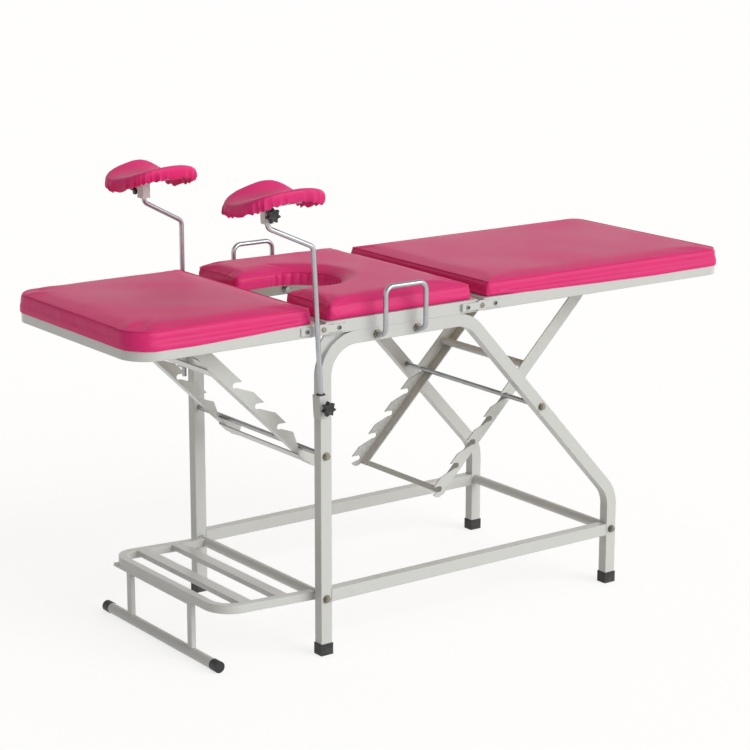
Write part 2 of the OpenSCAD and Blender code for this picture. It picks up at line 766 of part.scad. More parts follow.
// Brackets: an ear outside each arm, with its pivot bolt
ear_gap = 0.5;
module strut_ear() {
  y0 = arm_spread / 2 + arm_t + ear_gap;
  difference() {
    across(-y0 - ear_t, -y0) {
      circle(r = ear_r, $fn = round_fn);
      translate([-ear_r, 0]) square([2 * ear_r, pivot_drop]);
    }
    bar_y(0, 0, -y0 - ear_t - over, -y0 + over, strut_pin_r);
  }
  bar_y(0, 0, -y0 - ear_t, -y0 + ear_gap + arm_t + ear_gap, strut_pin_r);
  hex_y(0, 0, -y0 - ear_t - nut_h, -y0 - ear_t, nut_r);
  hex_y(0, 0, -y0 + ear_gap + arm_t + ear_gap, -y0 + ear_gap + arm_t + ear_gap + nut_h, nut_r);
}
module strut_bracket(x, shift) { white_paint() translate([x, shift, pivot_z]) both_sides() strut_ear(); }
module leg_strut_bracket() { strut_bracket(leg_pivot_abs_x, leg_shift); }
module back_strut_bracket() { strut_bracket(back_pivot_abs_x, back_shift); }

// Step: a loop of tube that hinges between the front legs, on a stand
washer_gap = 4;
step_corner_r = 65;
cap_r = foot_bar_d / 2 + 1;
stand_shift = 20;
stand_far_l = 60;
stand_h = 8;
upright_spacing = 280;
upright_t = 12;
upright_w = 18;
slat_w = 32;
slat_h = 12;
slat_drop = 1;
slat_share = [0.325, 0.69];
foot_bar_x = 267;
cap_l = 24;
step_half = step_w / 2 - step_tube_w / 2;

// The loop, its slats and the stand's bar slope up from the pivot
module on_step() {
  translate([front_x, 0, step_pivot_z]) rotate([0, step_slope, 0]) children();
}
module step_frame() {
  front = -step_reach + step_tube_w / 2;
  white_paint() on_step() difference() {
    tube_run([[0, -step_half], [front, -step_half], [front, step_half], [0, step_half]],
             step_corner_r - step_tube_w / 2, [step_tube_w, step_tube_h], tube_wall, over);
    bar_y(0, 0, -side_y, side_y, cross_tube_d / 2);
  }
}
module step_slats() {
  y = step_w / 2 - step_tube_w;
  top = step_tube_h / 2 - slat_drop;
  white_paint() on_step() for (s = slat_share)
    closed_tube([-s * step_reach - slat_w / 2, -y, top - slat_h], [-s * step_reach + slat_w / 2, y, top], tube_wall);
}
module step_pivot_tube() { white_paint() plugged_tube(front_x, step_pivot_z, inner_y - washer_gap); }

// The uprights are plumb, and end inside the sloping bar
module step_stand() {
  reach = upright_spacing / 2 + upright_w / 2;
  low = -step_tube_h / 2 - stand_h;
  upright_top = step_pivot_z + low + stand_h / 2 + (foot_bar_x - upright_t / 2) * sin(step_slope);
  white_paint() translate([0, stand_shift, 0]) {
    on_step()
      block([-step_reach, -reach, low], [-step_reach + step_tube_w, reach + stand_far_l, -step_tube_h / 2]);
    for (side = [-1, 1]) difference() {
      translate([front_x - foot_bar_x, side * upright_spacing / 2, 0])
        block([-upright_t / 2, -upright_w / 2, cap_r], [upright_t / 2, upright_w / 2, upright_top]);
      bar_y(front_x - foot_bar_x, cap_r, -foot_bar_l, foot_bar_l, foot_bar_d / 2);
    }
  }
}
module step_foot_bar() {
  white_paint() translate([0, stand_shift, 0])
    bar_y(front_x - foot_bar_x, cap_r, -foot_bar_l / 2, foot_bar_l / 2, foot_bar_d / 2);
}
module step_caps() {
  x = front_x - foot_bar_x;
  cap_end = cap_r - foot_bar_d / 2;
  black() translate([0, stand_shift, 0]) both_sides() difference() {
    bar_y(x, cap_r, -foot_bar_l / 2 - cap_end, -foot_bar_l / 2 + cap_l, cap_r);
    bar_y(x, cap_r, -foot_bar_l / 2, -foot_bar_l / 2 + cap_l + over, foot_bar_d / 2);
  }
}

// Leg holders. Each is drawn for the left side, around its socket's centre with the rod upright.
holder_out = 16;
socket_out = 28;
socket_h = 55;
socket_z = 612;
socket_w = 24;
left_socket_ahead = 24;
right_socket_ahead = 16;
bush_r = 7.5;
bush_flange_r = 9.5;
bush_flange_t = 2.5;
holder_r = holder_d / 2;
holder_low = 52;
holder_bend_r = 16;
knob_stud_r = 4;
knob_h = 14;
knob_r = 15;
lobe_rise = 2.6;
lobes = 7;
lobe_points = 12;
weld_nut_t = 6;
knob_gap = 1.5;
// Gap between the tip of a stud and the rod or bush that it presses on
stud_gap = 2.5;
weld_nut_r = 9;
stub_h = 44;
pad_socket_w = 22;
pad_socket_wall = 10;
pad_socket_low = 11;
plate_t = 4;

module rod_socket() {
  r = bush_r + air;
  y_in = holder_out;
  difference() {
    union() {
      block([-socket_w / 2, y_in - socket_out, -socket_h / 2], [socket_w / 2, y_in, socket_h / 2]);
      hex_y(0, 0, y_in - socket_out - weld_nut_t, y_in - socket_out, weld_nut_r);
    }
    translate([0, 0, -socket_h]) cylinder(h = 2 * socket_h, r = r, $fn = round_fn);
    bar_y(0, 0, y_in - socket_out - weld_nut_t - over, 0, knob_stud_r + play);
  }
}
module rod_bush() {
  difference() {
    union() {
      translate([0, 0, -socket_h / 2]) cylinder(h = socket_h + air, r = bush_r, $fn = round_fn);
      translate([0, 0, socket_h / 2 + air]) cylinder(h = bush_flange_t, r = bush_flange_r, $fn = round_fn);
    }
    translate([0, 0, -socket_h]) cylinder(h = 2 * socket_h, r = holder_r + play / 2, $fn = round_fn);
  }
}
module holder_rod() {
  rotate([90, 0, 0])
    bent([[0, -holder_low], [0, holder_bend_z], [-holder_reach, holder_bend_z + holder_rise],
          [-holder_reach, holder_bend_z + holder_rise + stub_h]], holder_bend_r)
      circle(r = holder_r, $fn = round_fn);
}
// A lobed knob on a stud along -Y, with the stud's tip at y0
module star_knob(y0, stud_l) {
  n = lobes * lobe_points;
  star = [
    for (i = [0 : n - 1])
      let (a = 360 * i / n, r = knob_r + lobe_rise * cos(lobes * a)) [r * sin(a), r * cos(a)]
  ];
  black() union() {
    bar_y(0, 0, y0 - stud_l - knob_h / 2, y0, knob_stud_r);
    across(y0 - stud_l - knob_h, y0 - stud_l) polygon(star);
  }
}
module lower_knob() { star_knob(-bush_r - stud_gap, socket_out - holder_out + weld_nut_t - bush_r + knob_gap); }

// The pad's socket sits on the stub. Its origin is the stub's foot, at the top of the bent arm.
stub_top = stub_h;
module pad_socket() {
  w = pad_socket_w / 2;
  top = stub_top + pad_socket_wall;
  difference() {
    union() {
      block([-w, -w, pad_socket_low], [w, w, top]);
      hex_y(0, (pad_socket_low + top) / 2, -w - weld_nut_t, -w, weld_nut_r);
    }
    translate([0, 0, pad_socket_low - over])
      cylinder(h = stub_top - pad_socket_low + over + air, r = holder_r + air, $fn = round_fn);
    bar_y(0, (pad_socket_low + top) / 2, -w - weld_nut_t - over, 0, knob_stud_r + play);
  }
}
module upper_knob() {
  w = pad_socket_w / 2;
  top = stub_top + pad_socket_wall;
  translate([0, 0, (pad_socket_low + top) / 2])
    star_knob(-holder_r - stud_gap, w + weld_nut_t - holder_r + knob_gap);
}

// Knee pad: a saddle that arches over its length and is dished across it
pad_thick = 32;
pad_arch = 26;
pad_dish = 20;
pad_ahead = 28;
pad_points = 32;
pad_ring_share = [0.82, 0.97, 1, 0.95, 0.75, 0.45, 0.15];
pad_height_share = [0, 0.2, 0.5, 0.8, 0.96, 1, 1];
plate_l_share = 0.5;
plate_w_share = 0.55;
module knee_plate() {
  l = pad_l * plate_l_share;
  w = pad_w * plate_w_share;
  top = stub_top + pad_socket_wall;
  block([-l / 2, -w / 2, top], [l / 2, w / 2, top + plate_t]);
}
module knee_pad() {
  base = stub_top + pad_socket_wall;
  rings = len(pad_ring_share);
  points = [
    for (k = [0 : rings - 1], i = [0 : pad_points - 1])
      let (
        a = 360 * i / pad_points,
        u = pad_ring_share[k] * cos(a),
        v = pad_ring_share[k] * sin(a)
      )
      [pad_ahead + u * pad_l / 2, v * pad_w / 2,
       pad_dish * v * v - pad_arch * u * u + pad_thick * pad_height_share[k]]
  ];
  translate([0, 0, base]) difference() {
    polyhedron(points = concat(points, [[pad_ahead, 0, 0], [pad_ahead, 0, pad_thick]]),
               faces = skin(rings, pad_points), convexity = 4);
    l = pad_l * plate_l_share / 2 + pocket_gap;
    w = pad_w * plate_w_share / 2 + pocket_gap;
    block([-l, -w, -pad_arch], [l, w, plate_t + air]);
  }
}

// Places of the left and right holders
module left_socket_place() {
  translate([front_x - left_socket_ahead, -side_y - holder_out, socket_z]) rotate([0, -left_lean, 0]) children();
}
module right_socket_place() {
  translate([front_x - right_socket_ahead, side_y + holder_out, socket_z]) mirror([0, 1, 0]) children();
}
module left_rod_place() { left_socket_place() translate([0, 0, left_drawn]) turned_in() children(); }
module right_rod_place() { right_socket_place() turned_in() children(); }
module turned_in() { rotate([0, 0, -holder_swivel]) children(); }
module on_stub() { translate([-holder_reach, 0, holder_bend_z + holder_rise]) children(); }

module left_rod_socket() { white_paint() left_socket_place() rod_socket(); }
module right_rod_socket() { white_paint() right_socket_place() rod_socket(); }
module left_rod_bush() { black() left_socket_place() turned_in() rod_bush(); }
module right_rod_bush() { black() right_socket_place() turned_in() rod_bush(); }
module left_holder_rod() { chrome() left_rod_place() holder_rod(); }
module right_holder_rod() { chrome() right_rod_place() holder_rod(); }
module left_lower_knob() { left_socket_place() lower_knob(); }
module right_lower_knob() { right_socket_place() lower_knob(); }
module left_pad_socket() { white_paint() left_rod_place() on_stub() pad_socket(); }
module right_pad_socket() { white_paint() right_rod_place() on_stub() pad_socket(); }
module left_upper_knob() { left_rod_place() on_stub() upper_knob(); }
module right_upper_knob() { right_rod_place() on_stub() upper_knob(); }
module left_knee_plate() { white_paint() left_rod_place() on_stub() knee_plate(); }
module right_knee_plate() { white_paint() right_rod_place() on_stub() knee_plate(); }
module left_knee_pad() { pink() left_rod_place() on_stub() knee_pad(); }
module right_knee_pad() { pink() right_rod_place() on_stub() knee_pad(); }

left_side_frame();
right_side_frame();
lower_rails();
rear_cross_tube();
frame_gussets();
rubber_feet();
front_locking_rod();
rear_locking_rod();
frame_bolts();
seat_frame();
seat_board();
seat_cushion();
left_hand_grip();
right_hand_grip();
hand_grip_nuts();
fixed_hinge_leaves();
hinge_pins();
left_rod_socket();
right_rod_socket();
step_pivot_bolts();
leg_frame();
leg_board();
leg_cushion();
leg_hinge_leaves();
leg_strut_bracket();
left_leg_strut_arm();
right_leg_strut_arm();
leg_strut_ties();
back_frame();
back_board();
back_cushion();
back_hinge_leaves();
back_strut_bracket();
left_back_strut_arm();
right_back_strut_arm();
back_strut_ties();
back_strut_spreader();
step_frame();
step_slats();
step_pivot_tube();
step_stand();
step_foot_bar();
step_caps();
left_rod_bush();
left_holder_rod();
left_lower_knob();
left_pad_socket();
left_upper_knob();
left_knee_plate();
left_knee_pad();
right_rod_bush();
right_holder_rod();
right_lower_knob();
right_pad_socket();
right_upper_knob();
right_knee_plate();
right_knee_pad();
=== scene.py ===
"""Gynaecological examination table: upholstery, hardware and finishes over its CAD frame."""

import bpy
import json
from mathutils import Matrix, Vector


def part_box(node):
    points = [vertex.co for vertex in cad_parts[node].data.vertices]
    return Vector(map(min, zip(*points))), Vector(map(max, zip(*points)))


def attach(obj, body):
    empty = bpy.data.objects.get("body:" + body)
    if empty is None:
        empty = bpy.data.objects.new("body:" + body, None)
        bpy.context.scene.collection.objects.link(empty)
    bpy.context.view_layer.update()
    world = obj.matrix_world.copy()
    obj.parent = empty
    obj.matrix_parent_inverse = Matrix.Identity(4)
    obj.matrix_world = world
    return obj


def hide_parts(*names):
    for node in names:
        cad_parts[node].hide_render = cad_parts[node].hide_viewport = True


bl_info = {
    "name": "Examination table",
    "version": (1, 0, 0),
    "blender": (4, 5, 0),
    "location": "View3D > Sidebar > Exam table",
    "description": "Dresses the CAD frame of an examination table with covers, small hardware and finishes",
    "category": "Object",
}

import json
import math

import bmesh
import bpy
import numpy as np
from mathutils import Matrix, Vector
from mathutils.bvhtree import BVHTree

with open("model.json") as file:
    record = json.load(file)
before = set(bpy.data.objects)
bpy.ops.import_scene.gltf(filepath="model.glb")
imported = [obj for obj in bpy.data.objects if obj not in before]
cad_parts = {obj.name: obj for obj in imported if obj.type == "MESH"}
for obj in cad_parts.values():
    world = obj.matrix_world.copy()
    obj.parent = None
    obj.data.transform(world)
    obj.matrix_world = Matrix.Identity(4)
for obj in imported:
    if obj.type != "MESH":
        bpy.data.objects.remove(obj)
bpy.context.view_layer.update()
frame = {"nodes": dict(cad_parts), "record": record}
NODES = frame["nodes"]


def length(name, default, description):
    return bpy.props.FloatProperty(
        name=name, default=default, description=description, min=0.0, precision=5,
        subtype="DISTANCE", unit="LENGTH",
    )


def number(name, default, description):
    return bpy.props.IntProperty(name=name, default=default, description=description, min=3, max=90)


def colour(name, default, description):
    return bpy.props.FloatVectorProperty(
        name=name, default=default, description=description, size=3, min=0.0, max=1.0, subtype="COLOR"
    )


class TableUpholstery(bpy.types.PropertyGroup):
    leg_corner: length("Leg pad corner", 0.066, "Radius of the leg pad's free corners")
    back_corner: length("Back pad corner", 0.040, "Radius of the back pad's free corners")
    hinge_corner: length("Hinge corner", 0.012, "Radius of the corners beside a hinge")
    side_draw: length("Side draw", 0.005, "How far a pad's side is drawn in at its rim and at its foot")
    hinge_lean: length("Hinge lean", 0.004, "How far the face beside a hinge leans back at its top")
    side_bow: length("Side bow", 0.0010, "How far a long side pulls in between its corners")
    leg_crown: length("Leg pad crown", 0.0070, "Rise of the leg pad's top over its rim")
    seat_crown: length("Seat pad crown", 0.0130, "Rise of the seat pad's top over its rim")
    back_crown: length("Back pad crown", 0.0055, "Rise of the back pad's top over its rim")
    crown_reach: length("Crown reach", 0.055, "Distance from the rim over which the crown rises")
    puff_limit: length("Puff limit", 0.0035, "The most that the simulation may move a point of a pad")
    voxel: length("Voxel", 0.006, "Size of the squares that a pad is remeshed to")
    slack: length("Slack", 0.0005, "Height of the slow waves on a cover")
    foot_wave: length("Foot wave", 0.0009, "Height of the waves along a cover's foot")
    corner_fold: length("Corner fold", 0.0007, "Depth of the short folds at the hinge corners")
    board_recess: length("Board recess", 0.004, "How far the cover's underside is recessed over the board")
    hang: length("Hang", 0.0090, "How far the leg and back covers hang down over their frames")
    past_frame: length("Past the frame", 0.0018, "How far a hanging cover stands out past its frame")
    cut_out_radius: length("Cut-out radius", 0.106, "Radius of the seat's cut-out")
    cut_out_centre: length("Cut-out centre", 0.120, "Centre of the cut-out behind the seat's front end")
    pleat_depth: length("Pleat depth", 0.0064, "Depth of the gathers round the cut-out")
    pleats: number("Pleats", 34, "Gathers round the cut-out's arc")
    seam_radius: length("Seam radius", 0.0015, "Radius of the piped seam along a pad's rim")
    stitch_pitch: length("Stitch pitch", 0.0075, "Distance from one stitch to the next")
    stitch_length: length("Stitch length", 0.0052, "Length of one stitch")
    stitch_radius: length("Stitch radius", 0.0004, "Radius of the sewing thread")
    stitch_drop: length("Stitch drop", 0.0036, "How far the stitches run under the seam")
    pad_length: length("Knee pad length", 0.2155, "Length of a knee pad")
    pad_width: length("Knee pad width", 0.1650, "Width of a knee pad")
    pad_height: length("Knee pad height", 0.0330, "Height of a knee pad's middle over the top of its stub")
    pad_side: length("Knee pad side", 0.0325, "Depth of a knee pad's gathered side")
    gather_depth: length("Gather depth", 0.0080, "Depth of the gathers at a knee pad's hem")
    gathers: number("Gathers", 30, "Gathers round a knee pad's hem")


class TableHardware(bpy.types.PropertyGroup):
    screw_radius: length("Screw radius", 0.0057, "Radius of a hinge screw's head")
    screw_dome: length("Screw dome", 0.0016, "Height of a screw head's dome over its leaf")
    screw_seat: length("Screw seat", 0.0022, "How deep the middle of a screw head's ball lies in its leaf")
    fixed_screw: length("Fixed leaf screw", 0.049, "From a hinge pin to the screw of a fixed leaf")
    moving_screw: length("Moving leaf screw", 0.037, "From a hinge pin to the screw of a moving leaf")
    weld_radius: length("Weld radius", 0.0016, "Radius of a weld bead")
    ripple_pitch: length("Ripple pitch", 0.0032, "Distance between a weld's ripples")
    rail_tube: length("Lower rail tube", 0.026, "Width of a lower rail's tube")
    knob_radius: length("Knob radius", 0.0152, "Mean radius of a star knob")
    knob_lobe: length("Knob lobe", 0.0029, "How far a knob's lobes reach over and under its mean radius")
    knob_height: length("Knob height", 0.014, "Height of a star knob")
    knob_edge: length("Knob edge", 0.0005, "Width of the bevel on a knob's edges")


class TableColours(bpy.types.PropertyGroup):
    leather: colour("Leather", (0.79, 0.032, 0.20), "Pink artificial leather")
    enamel: colour("Enamel", (0.625, 0.635, 0.620), "Off-white enamel")
    plastic: colour("Plastic", (0.018, 0.018, 0.020), "Black moulded plastic")
    rubber: colour("Rubber", (0.022, 0.022, 0.024), "Black rubber")
    chrome: colour("Chrome", (0.46, 0.47, 0.49), "Chromed rod")
    rod: colour("Locking rod", (0.40, 0.40, 0.41), "Bright steel rod")
    screw: colour("Screws", (0.13, 0.13, 0.14), "Darkened steel of the hinge screws")
    brass: colour("Nuts", (0.33, 0.30, 0.25), "Yellow passivated nuts and bolts")
    wood: colour("Plywood", (0.62, 0.42, 0.22), "Birch plywood")


def upholstery():
    return bpy.context.scene.table_upholstery


def hardware():
    return bpy.context.scene.table_hardware


def colours():
    return bpy.context.scene.table_colours


# Shapes and meshes


def smooth(low, high, x):
    t = np.clip((x - low) / (high - low), 0.0, 1.0)
    return t * t * (3 - 2 * t)


def unit(v):
    return v / np.maximum(np.linalg.norm(v, axis=-1, keepdims=True), 1e-12)


def mesh_object(name, points, faces, edges=()):
    mesh = bpy.data.meshes.new(name)
    mesh.from_pydata([tuple(map(float, p)) for p in points], list(edges), faces)
    mesh.update()
    shade_smooth(mesh)
    obj = bpy.data.objects.new(name, mesh)
    bpy.context.scene.collection.objects.link(obj)
    return obj


def shade_smooth(mesh):
    for polygon in mesh.polygons:
        polygon.use_smooth = True


def ring_faces(rings, n):
    """Four-sided faces between closed rings of n points each."""
    return [
        (k * n + i, k * n + (i + 1) % n, (k + 1) * n + (i + 1) % n, (k + 1) * n + i)
        for k in range(rings - 1) for i in range(n)
    ]


def face_outward(obj):
    """Splits a closed shape's large end faces and turns all its faces outward."""
    shape = bmesh.new()
    shape.from_mesh(obj.data)
    large = [face for face in shape.faces if len(face.verts) > 4]
    if large:
        bmesh.ops.triangulate(shape, faces=large)
    bmesh.ops.recalc_face_normals(shape, faces=shape.faces)
    shape.to_mesh(obj.data)
    shape.free()
    return obj


def points_of(obj):
    points = np.empty(len(obj.data.vertices) * 3)
    obj.data.vertices.foreach_get("co", points)
    return points.reshape(-1, 3)


def set_points(obj, points):
    obj.data.vertices.foreach_set("co", np.ascontiguousarray(points, dtype=np.float64).ravel())
    obj.data.update()


def normals_of(obj):
    normals = np.empty(len(obj.data.vertices) * 3)
    obj.data.vertex_normals.foreach_get("vector", normals)
    return normals.reshape(-1, 3)


def apply_modifiers(obj):
    """Turns what the modifiers make into the object's own mesh."""
    graph = bpy.context.evaluated_depsgraph_get()
    made = bpy.data.meshes.new_from_object(
        obj.evaluated_get(graph), preserve_all_data_layers=True, depsgraph=graph
    )
    obj.modifiers.clear()
    old, obj.data = obj.data, made
    bpy.data.meshes.remove(old)
    return obj


def settle(obj):
    shade_smooth(apply_modifiers(obj).data)
    return obj


def remesh(obj, voxel):
    modifier = obj.modifiers.new("Remesh", "REMESH")
    modifier.mode = "VOXEL"
    modifier.voxel_size = voxel
    return settle(obj)


def subdivide(obj, levels=1):
    modifier = obj.modifiers.new("Subdivision", "SUBSURF")
    modifier.levels = modifier.render_levels = levels
    return settle(obj)


FOAM_PRESSURE = 4.0
FOAM_FRAMES = 20


def puff(obj, held, limit):
    """Blows a padded shape up with Cloth and keeps each point within the limit."""
    scene = bpy.context.scene
    rest = points_of(obj)
    group = obj.vertex_groups.new(name="held")
    group.add([int(i) for i in np.flatnonzero(held)], 1.0, "REPLACE")
    cloth = obj.modifiers.new("Cloth", "CLOTH")
    settings = cloth.settings
    settings.quality = 5
    settings.mass = 0.3
    settings.tension_stiffness = settings.compression_stiffness = 15
    settings.shear_stiffness = 8
    settings.bending_stiffness = 0.6
    settings.use_pressure = True
    settings.uniform_pressure_force = FOAM_PRESSURE
    settings.vertex_group_mass = "held"
    settings.effector_weights.gravity = 0
    cloth.collision_settings.use_collision = False
    for step in range(1, FOAM_FRAMES + 1):
        scene.frame_set(step)
    settle(obj)
    scene.frame_set(1)
    obj.vertex_groups.clear()
    moved = points_of(obj) - rest
    size = np.linalg.norm(moved, axis=1, keepdims=True)
    set_points(obj, rest + moved * np.minimum(1.0, limit / np.maximum(size, 1e-9)))
    return obj


def nearest_on(points, loop, out=0.0):
    """Each point's distance from a closed outline, and the nearest place on it, moved outward."""
    best, places = np.full(len(points), 1e9), points.copy()
    for a, b in zip(loop, np.roll(loop, -1, axis=0)):
        d = b - a
        t = np.clip(((points - a) @ d) / max(d @ d, 1e-12), 0, 1)
        step = t[:, None] * d
        far = np.linalg.norm(points - a - step, axis=1)
        closer = far < best
        best[closer] = far[closer]
        places[closer] = (a + step)[closer] + unit(np.array([d[1], -d[0]])) * out
    return best, places


def waves(points, count, low, high, seed):
    """A smooth random field, from -1 to 1, with wavelengths from low to high."""
    rng = np.random.default_rng(seed)
    total = np.zeros(len(points))
    for _ in range(count):
        direction = unit(rng.normal(size=points.shape[1]))
        run = points @ direction * 2 * math.pi / rng.uniform(low, high)
        total += np.sin(run + rng.uniform(0, 2 * math.pi))
    return total / math.sqrt(count)


ARC_STEPS = 8


def round_loop(corners):
    """A closed outline from corners of (x, y, radius, points along the next side, bow of that side)."""
    arcs = []
    for i, (x, y, radius, _, _) in enumerate(corners):
        p = np.array([x, y])
        to_last = unit(np.array(corners[i - 1][:2]) - p)
        to_next = unit(np.array(corners[(i + 1) % len(corners)][:2]) - p)
        if radius <= 0:
            arcs.append([p])
            continue
        half = math.acos(float(np.clip(to_last @ to_next, -1, 1))) / 2
        centre = p + unit(to_last + to_next) * radius / math.sin(half)
        start = p + to_last * radius / math.tan(half) - centre
        end = p + to_next * radius / math.tan(half) - centre
        first = math.atan2(start[1], start[0])
        sweep = (math.atan2(end[1], end[0]) - first + math.pi) % (2 * math.pi) - math.pi
        turns = [first + sweep * k / ARC_STEPS for k in range(ARC_STEPS + 1)]
        arcs.append([centre + radius * np.array([math.cos(turn), math.sin(turn)]) for turn in turns])
    loop = []
    for i, arc in enumerate(arcs):
        loop += arc
        a, b = arc[-1], arcs[(i + 1) % len(arcs)][0]
        inward = unit(np.array([a[1] - b[1], b[0] - a[0]]))
        steps, bow = corners[i][3] + 1, corners[i][4]
        for k in range(1, steps):
            loop.append(a + (b - a) * k / steps + inward * bow * math.sin(math.pi * k / steps))
    return np.array(loop)


# Node trees

FLOAT, VECTOR = "NodeSocketFloat", "NodeSocketVector"
GEOMETRY, MATERIAL = "NodeSocketGeometry", "NodeSocketMaterial"
WHITE = (1, 1, 1, 1)


class Tree:
    """Short ways to add nodes to a node tree and to join them."""

    def __init__(self, tree):
        self.tree = tree

    def put(self, value, socket):
        if isinstance(value, bpy.types.NodeSocket):
            self.tree.links.new(value, socket)
        else:
            socket.default_value = value

    def add(self, kind, inputs=None, **settings):
        node = self.tree.nodes.new(kind)
        for name, value in settings.items():
            setattr(node, name, value)
        for name, value in (inputs or {}).items():
            self.put(value, node.inputs[name])
        return node

    def out(self, kind, inputs=None, output=0, **settings):
        return self.add(kind, inputs, **settings).outputs[output]

    def math(self, operation, a, b=0.0, clamp=False):
        return self.out("ShaderNodeMath", {0: a, 1: b}, operation=operation, use_clamp=clamp)

    def ramp(self, value, low, high, to_low=0.0, to_high=1.0):
        ends = {"From Min": low, "From Max": high, "To Min": to_low, "To Max": to_high}
        return self.out("ShaderNodeMapRange", {"Value": value, **ends})

    def noise(self, vector, scale, detail=3.0, roughness=0.5):
        look = {"Scale": scale, "Detail": detail, "Roughness": roughness}
        return self.out("ShaderNodeTexNoise", {"Vector": vector, **look}, "Fac")

    def wave(self, vector, scale, distortion=0.0, detail=2.0, **settings):
        look = {"Scale": scale, "Distortion": distortion, "Detail": detail}
        return self.out("ShaderNodeTexWave", {"Vector": vector, **look}, "Fac", **settings)

    def stretch(self, vector, scale):
        return self.out("ShaderNodeMapping", {"Vector": vector, "Scale": scale})

    def vector(self, **parts):
        return self.out("ShaderNodeCombineXYZ", parts)

    def part(self, vector, axis):
        return self.out("ShaderNodeSeparateXYZ", {0: vector}, axis)

    def mix(self, factor, a, b):
        node = self.add("ShaderNodeMix", data_type="RGBA")
        sockets = {s.identifier: s for s in node.inputs}
        for key, value in (("Factor_Float", factor), ("A_Color", a), ("B_Color", b)):
            self.put(value, sockets[key])
        return {s.identifier: s for s in node.outputs}["Result_Color"]

    def blend(self, factor, a, b):
        return self.out("ShaderNodeMixShader", {0: factor, 1: a, 2: b})

    def bump(self, height, distance, strength=1.0, **normal):
        look = {"Height": height, "Distance": distance, "Strength": strength}
        return self.out("ShaderNodeBump", {**look, **normal})

    def group(self, group, **inputs):
        node = self.add("ShaderNodeGroup", node_tree=group)
        for label, value in inputs.items():
            self.put(value, node.inputs[label.replace("_", " ")])
        return node.outputs

    def paint(self, geometry, material):
        return self.out("GeometryNodeSetMaterial", {"Geometry": geometry, "Material": material})

    def merge(self, *pieces):
        node = self.add("GeometryNodeJoinGeometry")
        for piece in pieces:
            self.tree.links.new(piece, node.inputs[0])
        return node.outputs[0]


def node_group(name, kind, inputs, outputs, build):
    """A shared group of nodes. build(tree, inputs) gives its outputs by name."""
    group = bpy.data.node_groups.get(name)
    if group:
        return group
    group = bpy.data.node_groups.new(name, kind)
    for way, sockets in (("INPUT", inputs), ("OUTPUT", outputs)):
        for label, socket_type in sockets.items():
            group.interface.new_socket(label, in_out=way, socket_type=socket_type)
    tree = Tree(group)
    start = tree.add("NodeGroupInput")
    end = tree.add("NodeGroupOutput")
    for label, socket in build(tree, start.outputs).items():
        group.links.new(socket, end.inputs[label])
    return group


def shader_group(name, inputs, outputs, build):
    outputs = {label: VECTOR if label == "Normal" else FLOAT for label in outputs}
    return node_group(name, "ShaderNodeTree", {"Vector": VECTOR, **inputs}, outputs, build)


def leather_grain():
    """Pebbled grain, the slack of a stretched cover, and a slow change of tone."""

    def build(t, i):
        cells = {"Vector": i["Vector"], "Scale": i["Scale"], "Randomness": 0.9}
        pebble = t.ramp(t.out("ShaderNodeTexVoronoi", cells, "Distance"), 0.0, 0.75, 1.0, 0.0)
        fine = t.noise(i["Vector"], t.math("MULTIPLY", i["Scale"], 2.6), 2.0)
        slack = t.noise(i["Vector"], 14.0, 2.0)
        height = t.math("ADD", t.math("MULTIPLY", pebble, 0.7), t.math("MULTIPLY", fine, 0.3))
        height = t.math("ADD", height, t.math("MULTIPLY", slack, i["Slack"]))
        return {"Height": height, "Tone": t.noise(i["Vector"], 5.0, 3.0), "Pebble": pebble}

    outputs = ("Height", "Tone", "Pebble")
    return shader_group("Leather grain", {"Scale": FLOAT, "Slack": FLOAT}, outputs, build)


def coat_texture():
    """Orange peel of a sprayed coat, with a slow change of tone and a little settled dust."""

    def build(t, i):
        peel = t.noise(i["Vector"], i["Peel scale"], 2.0, 0.4)
        dust = t.ramp(t.noise(i["Vector"], 38.0, 4.0, 0.62), 0.52, 0.72)
        return {"Height": peel, "Tone": t.noise(i["Vector"], 2.5, 2.0), "Dust": dust}

    return shader_group("Coat texture", {"Peel scale": FLOAT}, ("Height", "Tone", "Dust"), build)


def soft_edges():
    """A normal that rounds sharp edges, and a mask of where they wear."""

    def build(t, i):
        rounded = t.out("ShaderNodeBevel", {"Radius": i["Radius"]}, samples=4)
        plain = t.out("ShaderNodeNewGeometry", output="Normal")
        facing = t.out("ShaderNodeVectorMath", {0: rounded, 1: plain}, "Value", operation="DOT_PRODUCT")
        chips = t.ramp(t.noise(i["Vector"], 210.0, 4.0, 0.7), 0.5, 0.62)
        wear = t.math("MULTIPLY", t.ramp(facing, 0.995, 0.86), chips, clamp=True)
        return {"Normal": rounded, "Wear": wear}

    return shader_group("Soft edges", {"Radius": FLOAT}, ("Normal", "Wear"), build)


def near_floor():
    """A mask of the scuffed and dusty zone close to the floor."""

    def build(t, i):
        low = t.ramp(t.part(i["Vector"], "Z"), i["Reach"], 0.0)
        patches = t.ramp(t.noise(i["Vector"], 60.0, 4.0, 0.6), 0.35, 0.7)
        return {"Mask": t.math("MULTIPLY", low, patches, clamp=True)}

    return shader_group("Near floor", {"Reach": FLOAT}, ("Mask",), build)


# Finishes

SETTLED_DUST = (0.45, 0.42, 0.36, 1)
SCUFFED_ENAMEL = (0.40, 0.37, 0.32, 1)
WORN_ENAMEL = (0.50, 0.48, 0.44, 1)
FLOOR_DUST = (0.22, 0.20, 0.18, 1)


def new_finish(name, **sockets):
    material = bpy.data.materials.new(name)
    material.use_nodes = True
    material.node_tree.nodes.clear()
    tree = Tree(material.node_tree)
    shader = tree.add("ShaderNodeBsdfPrincipled")
    wire(tree, shader, **sockets)
    tree.add("ShaderNodeOutputMaterial", {"Surface": shader.outputs[0]})
    return material, tree, shader, tree.out("ShaderNodeTexCoord", output="Object")


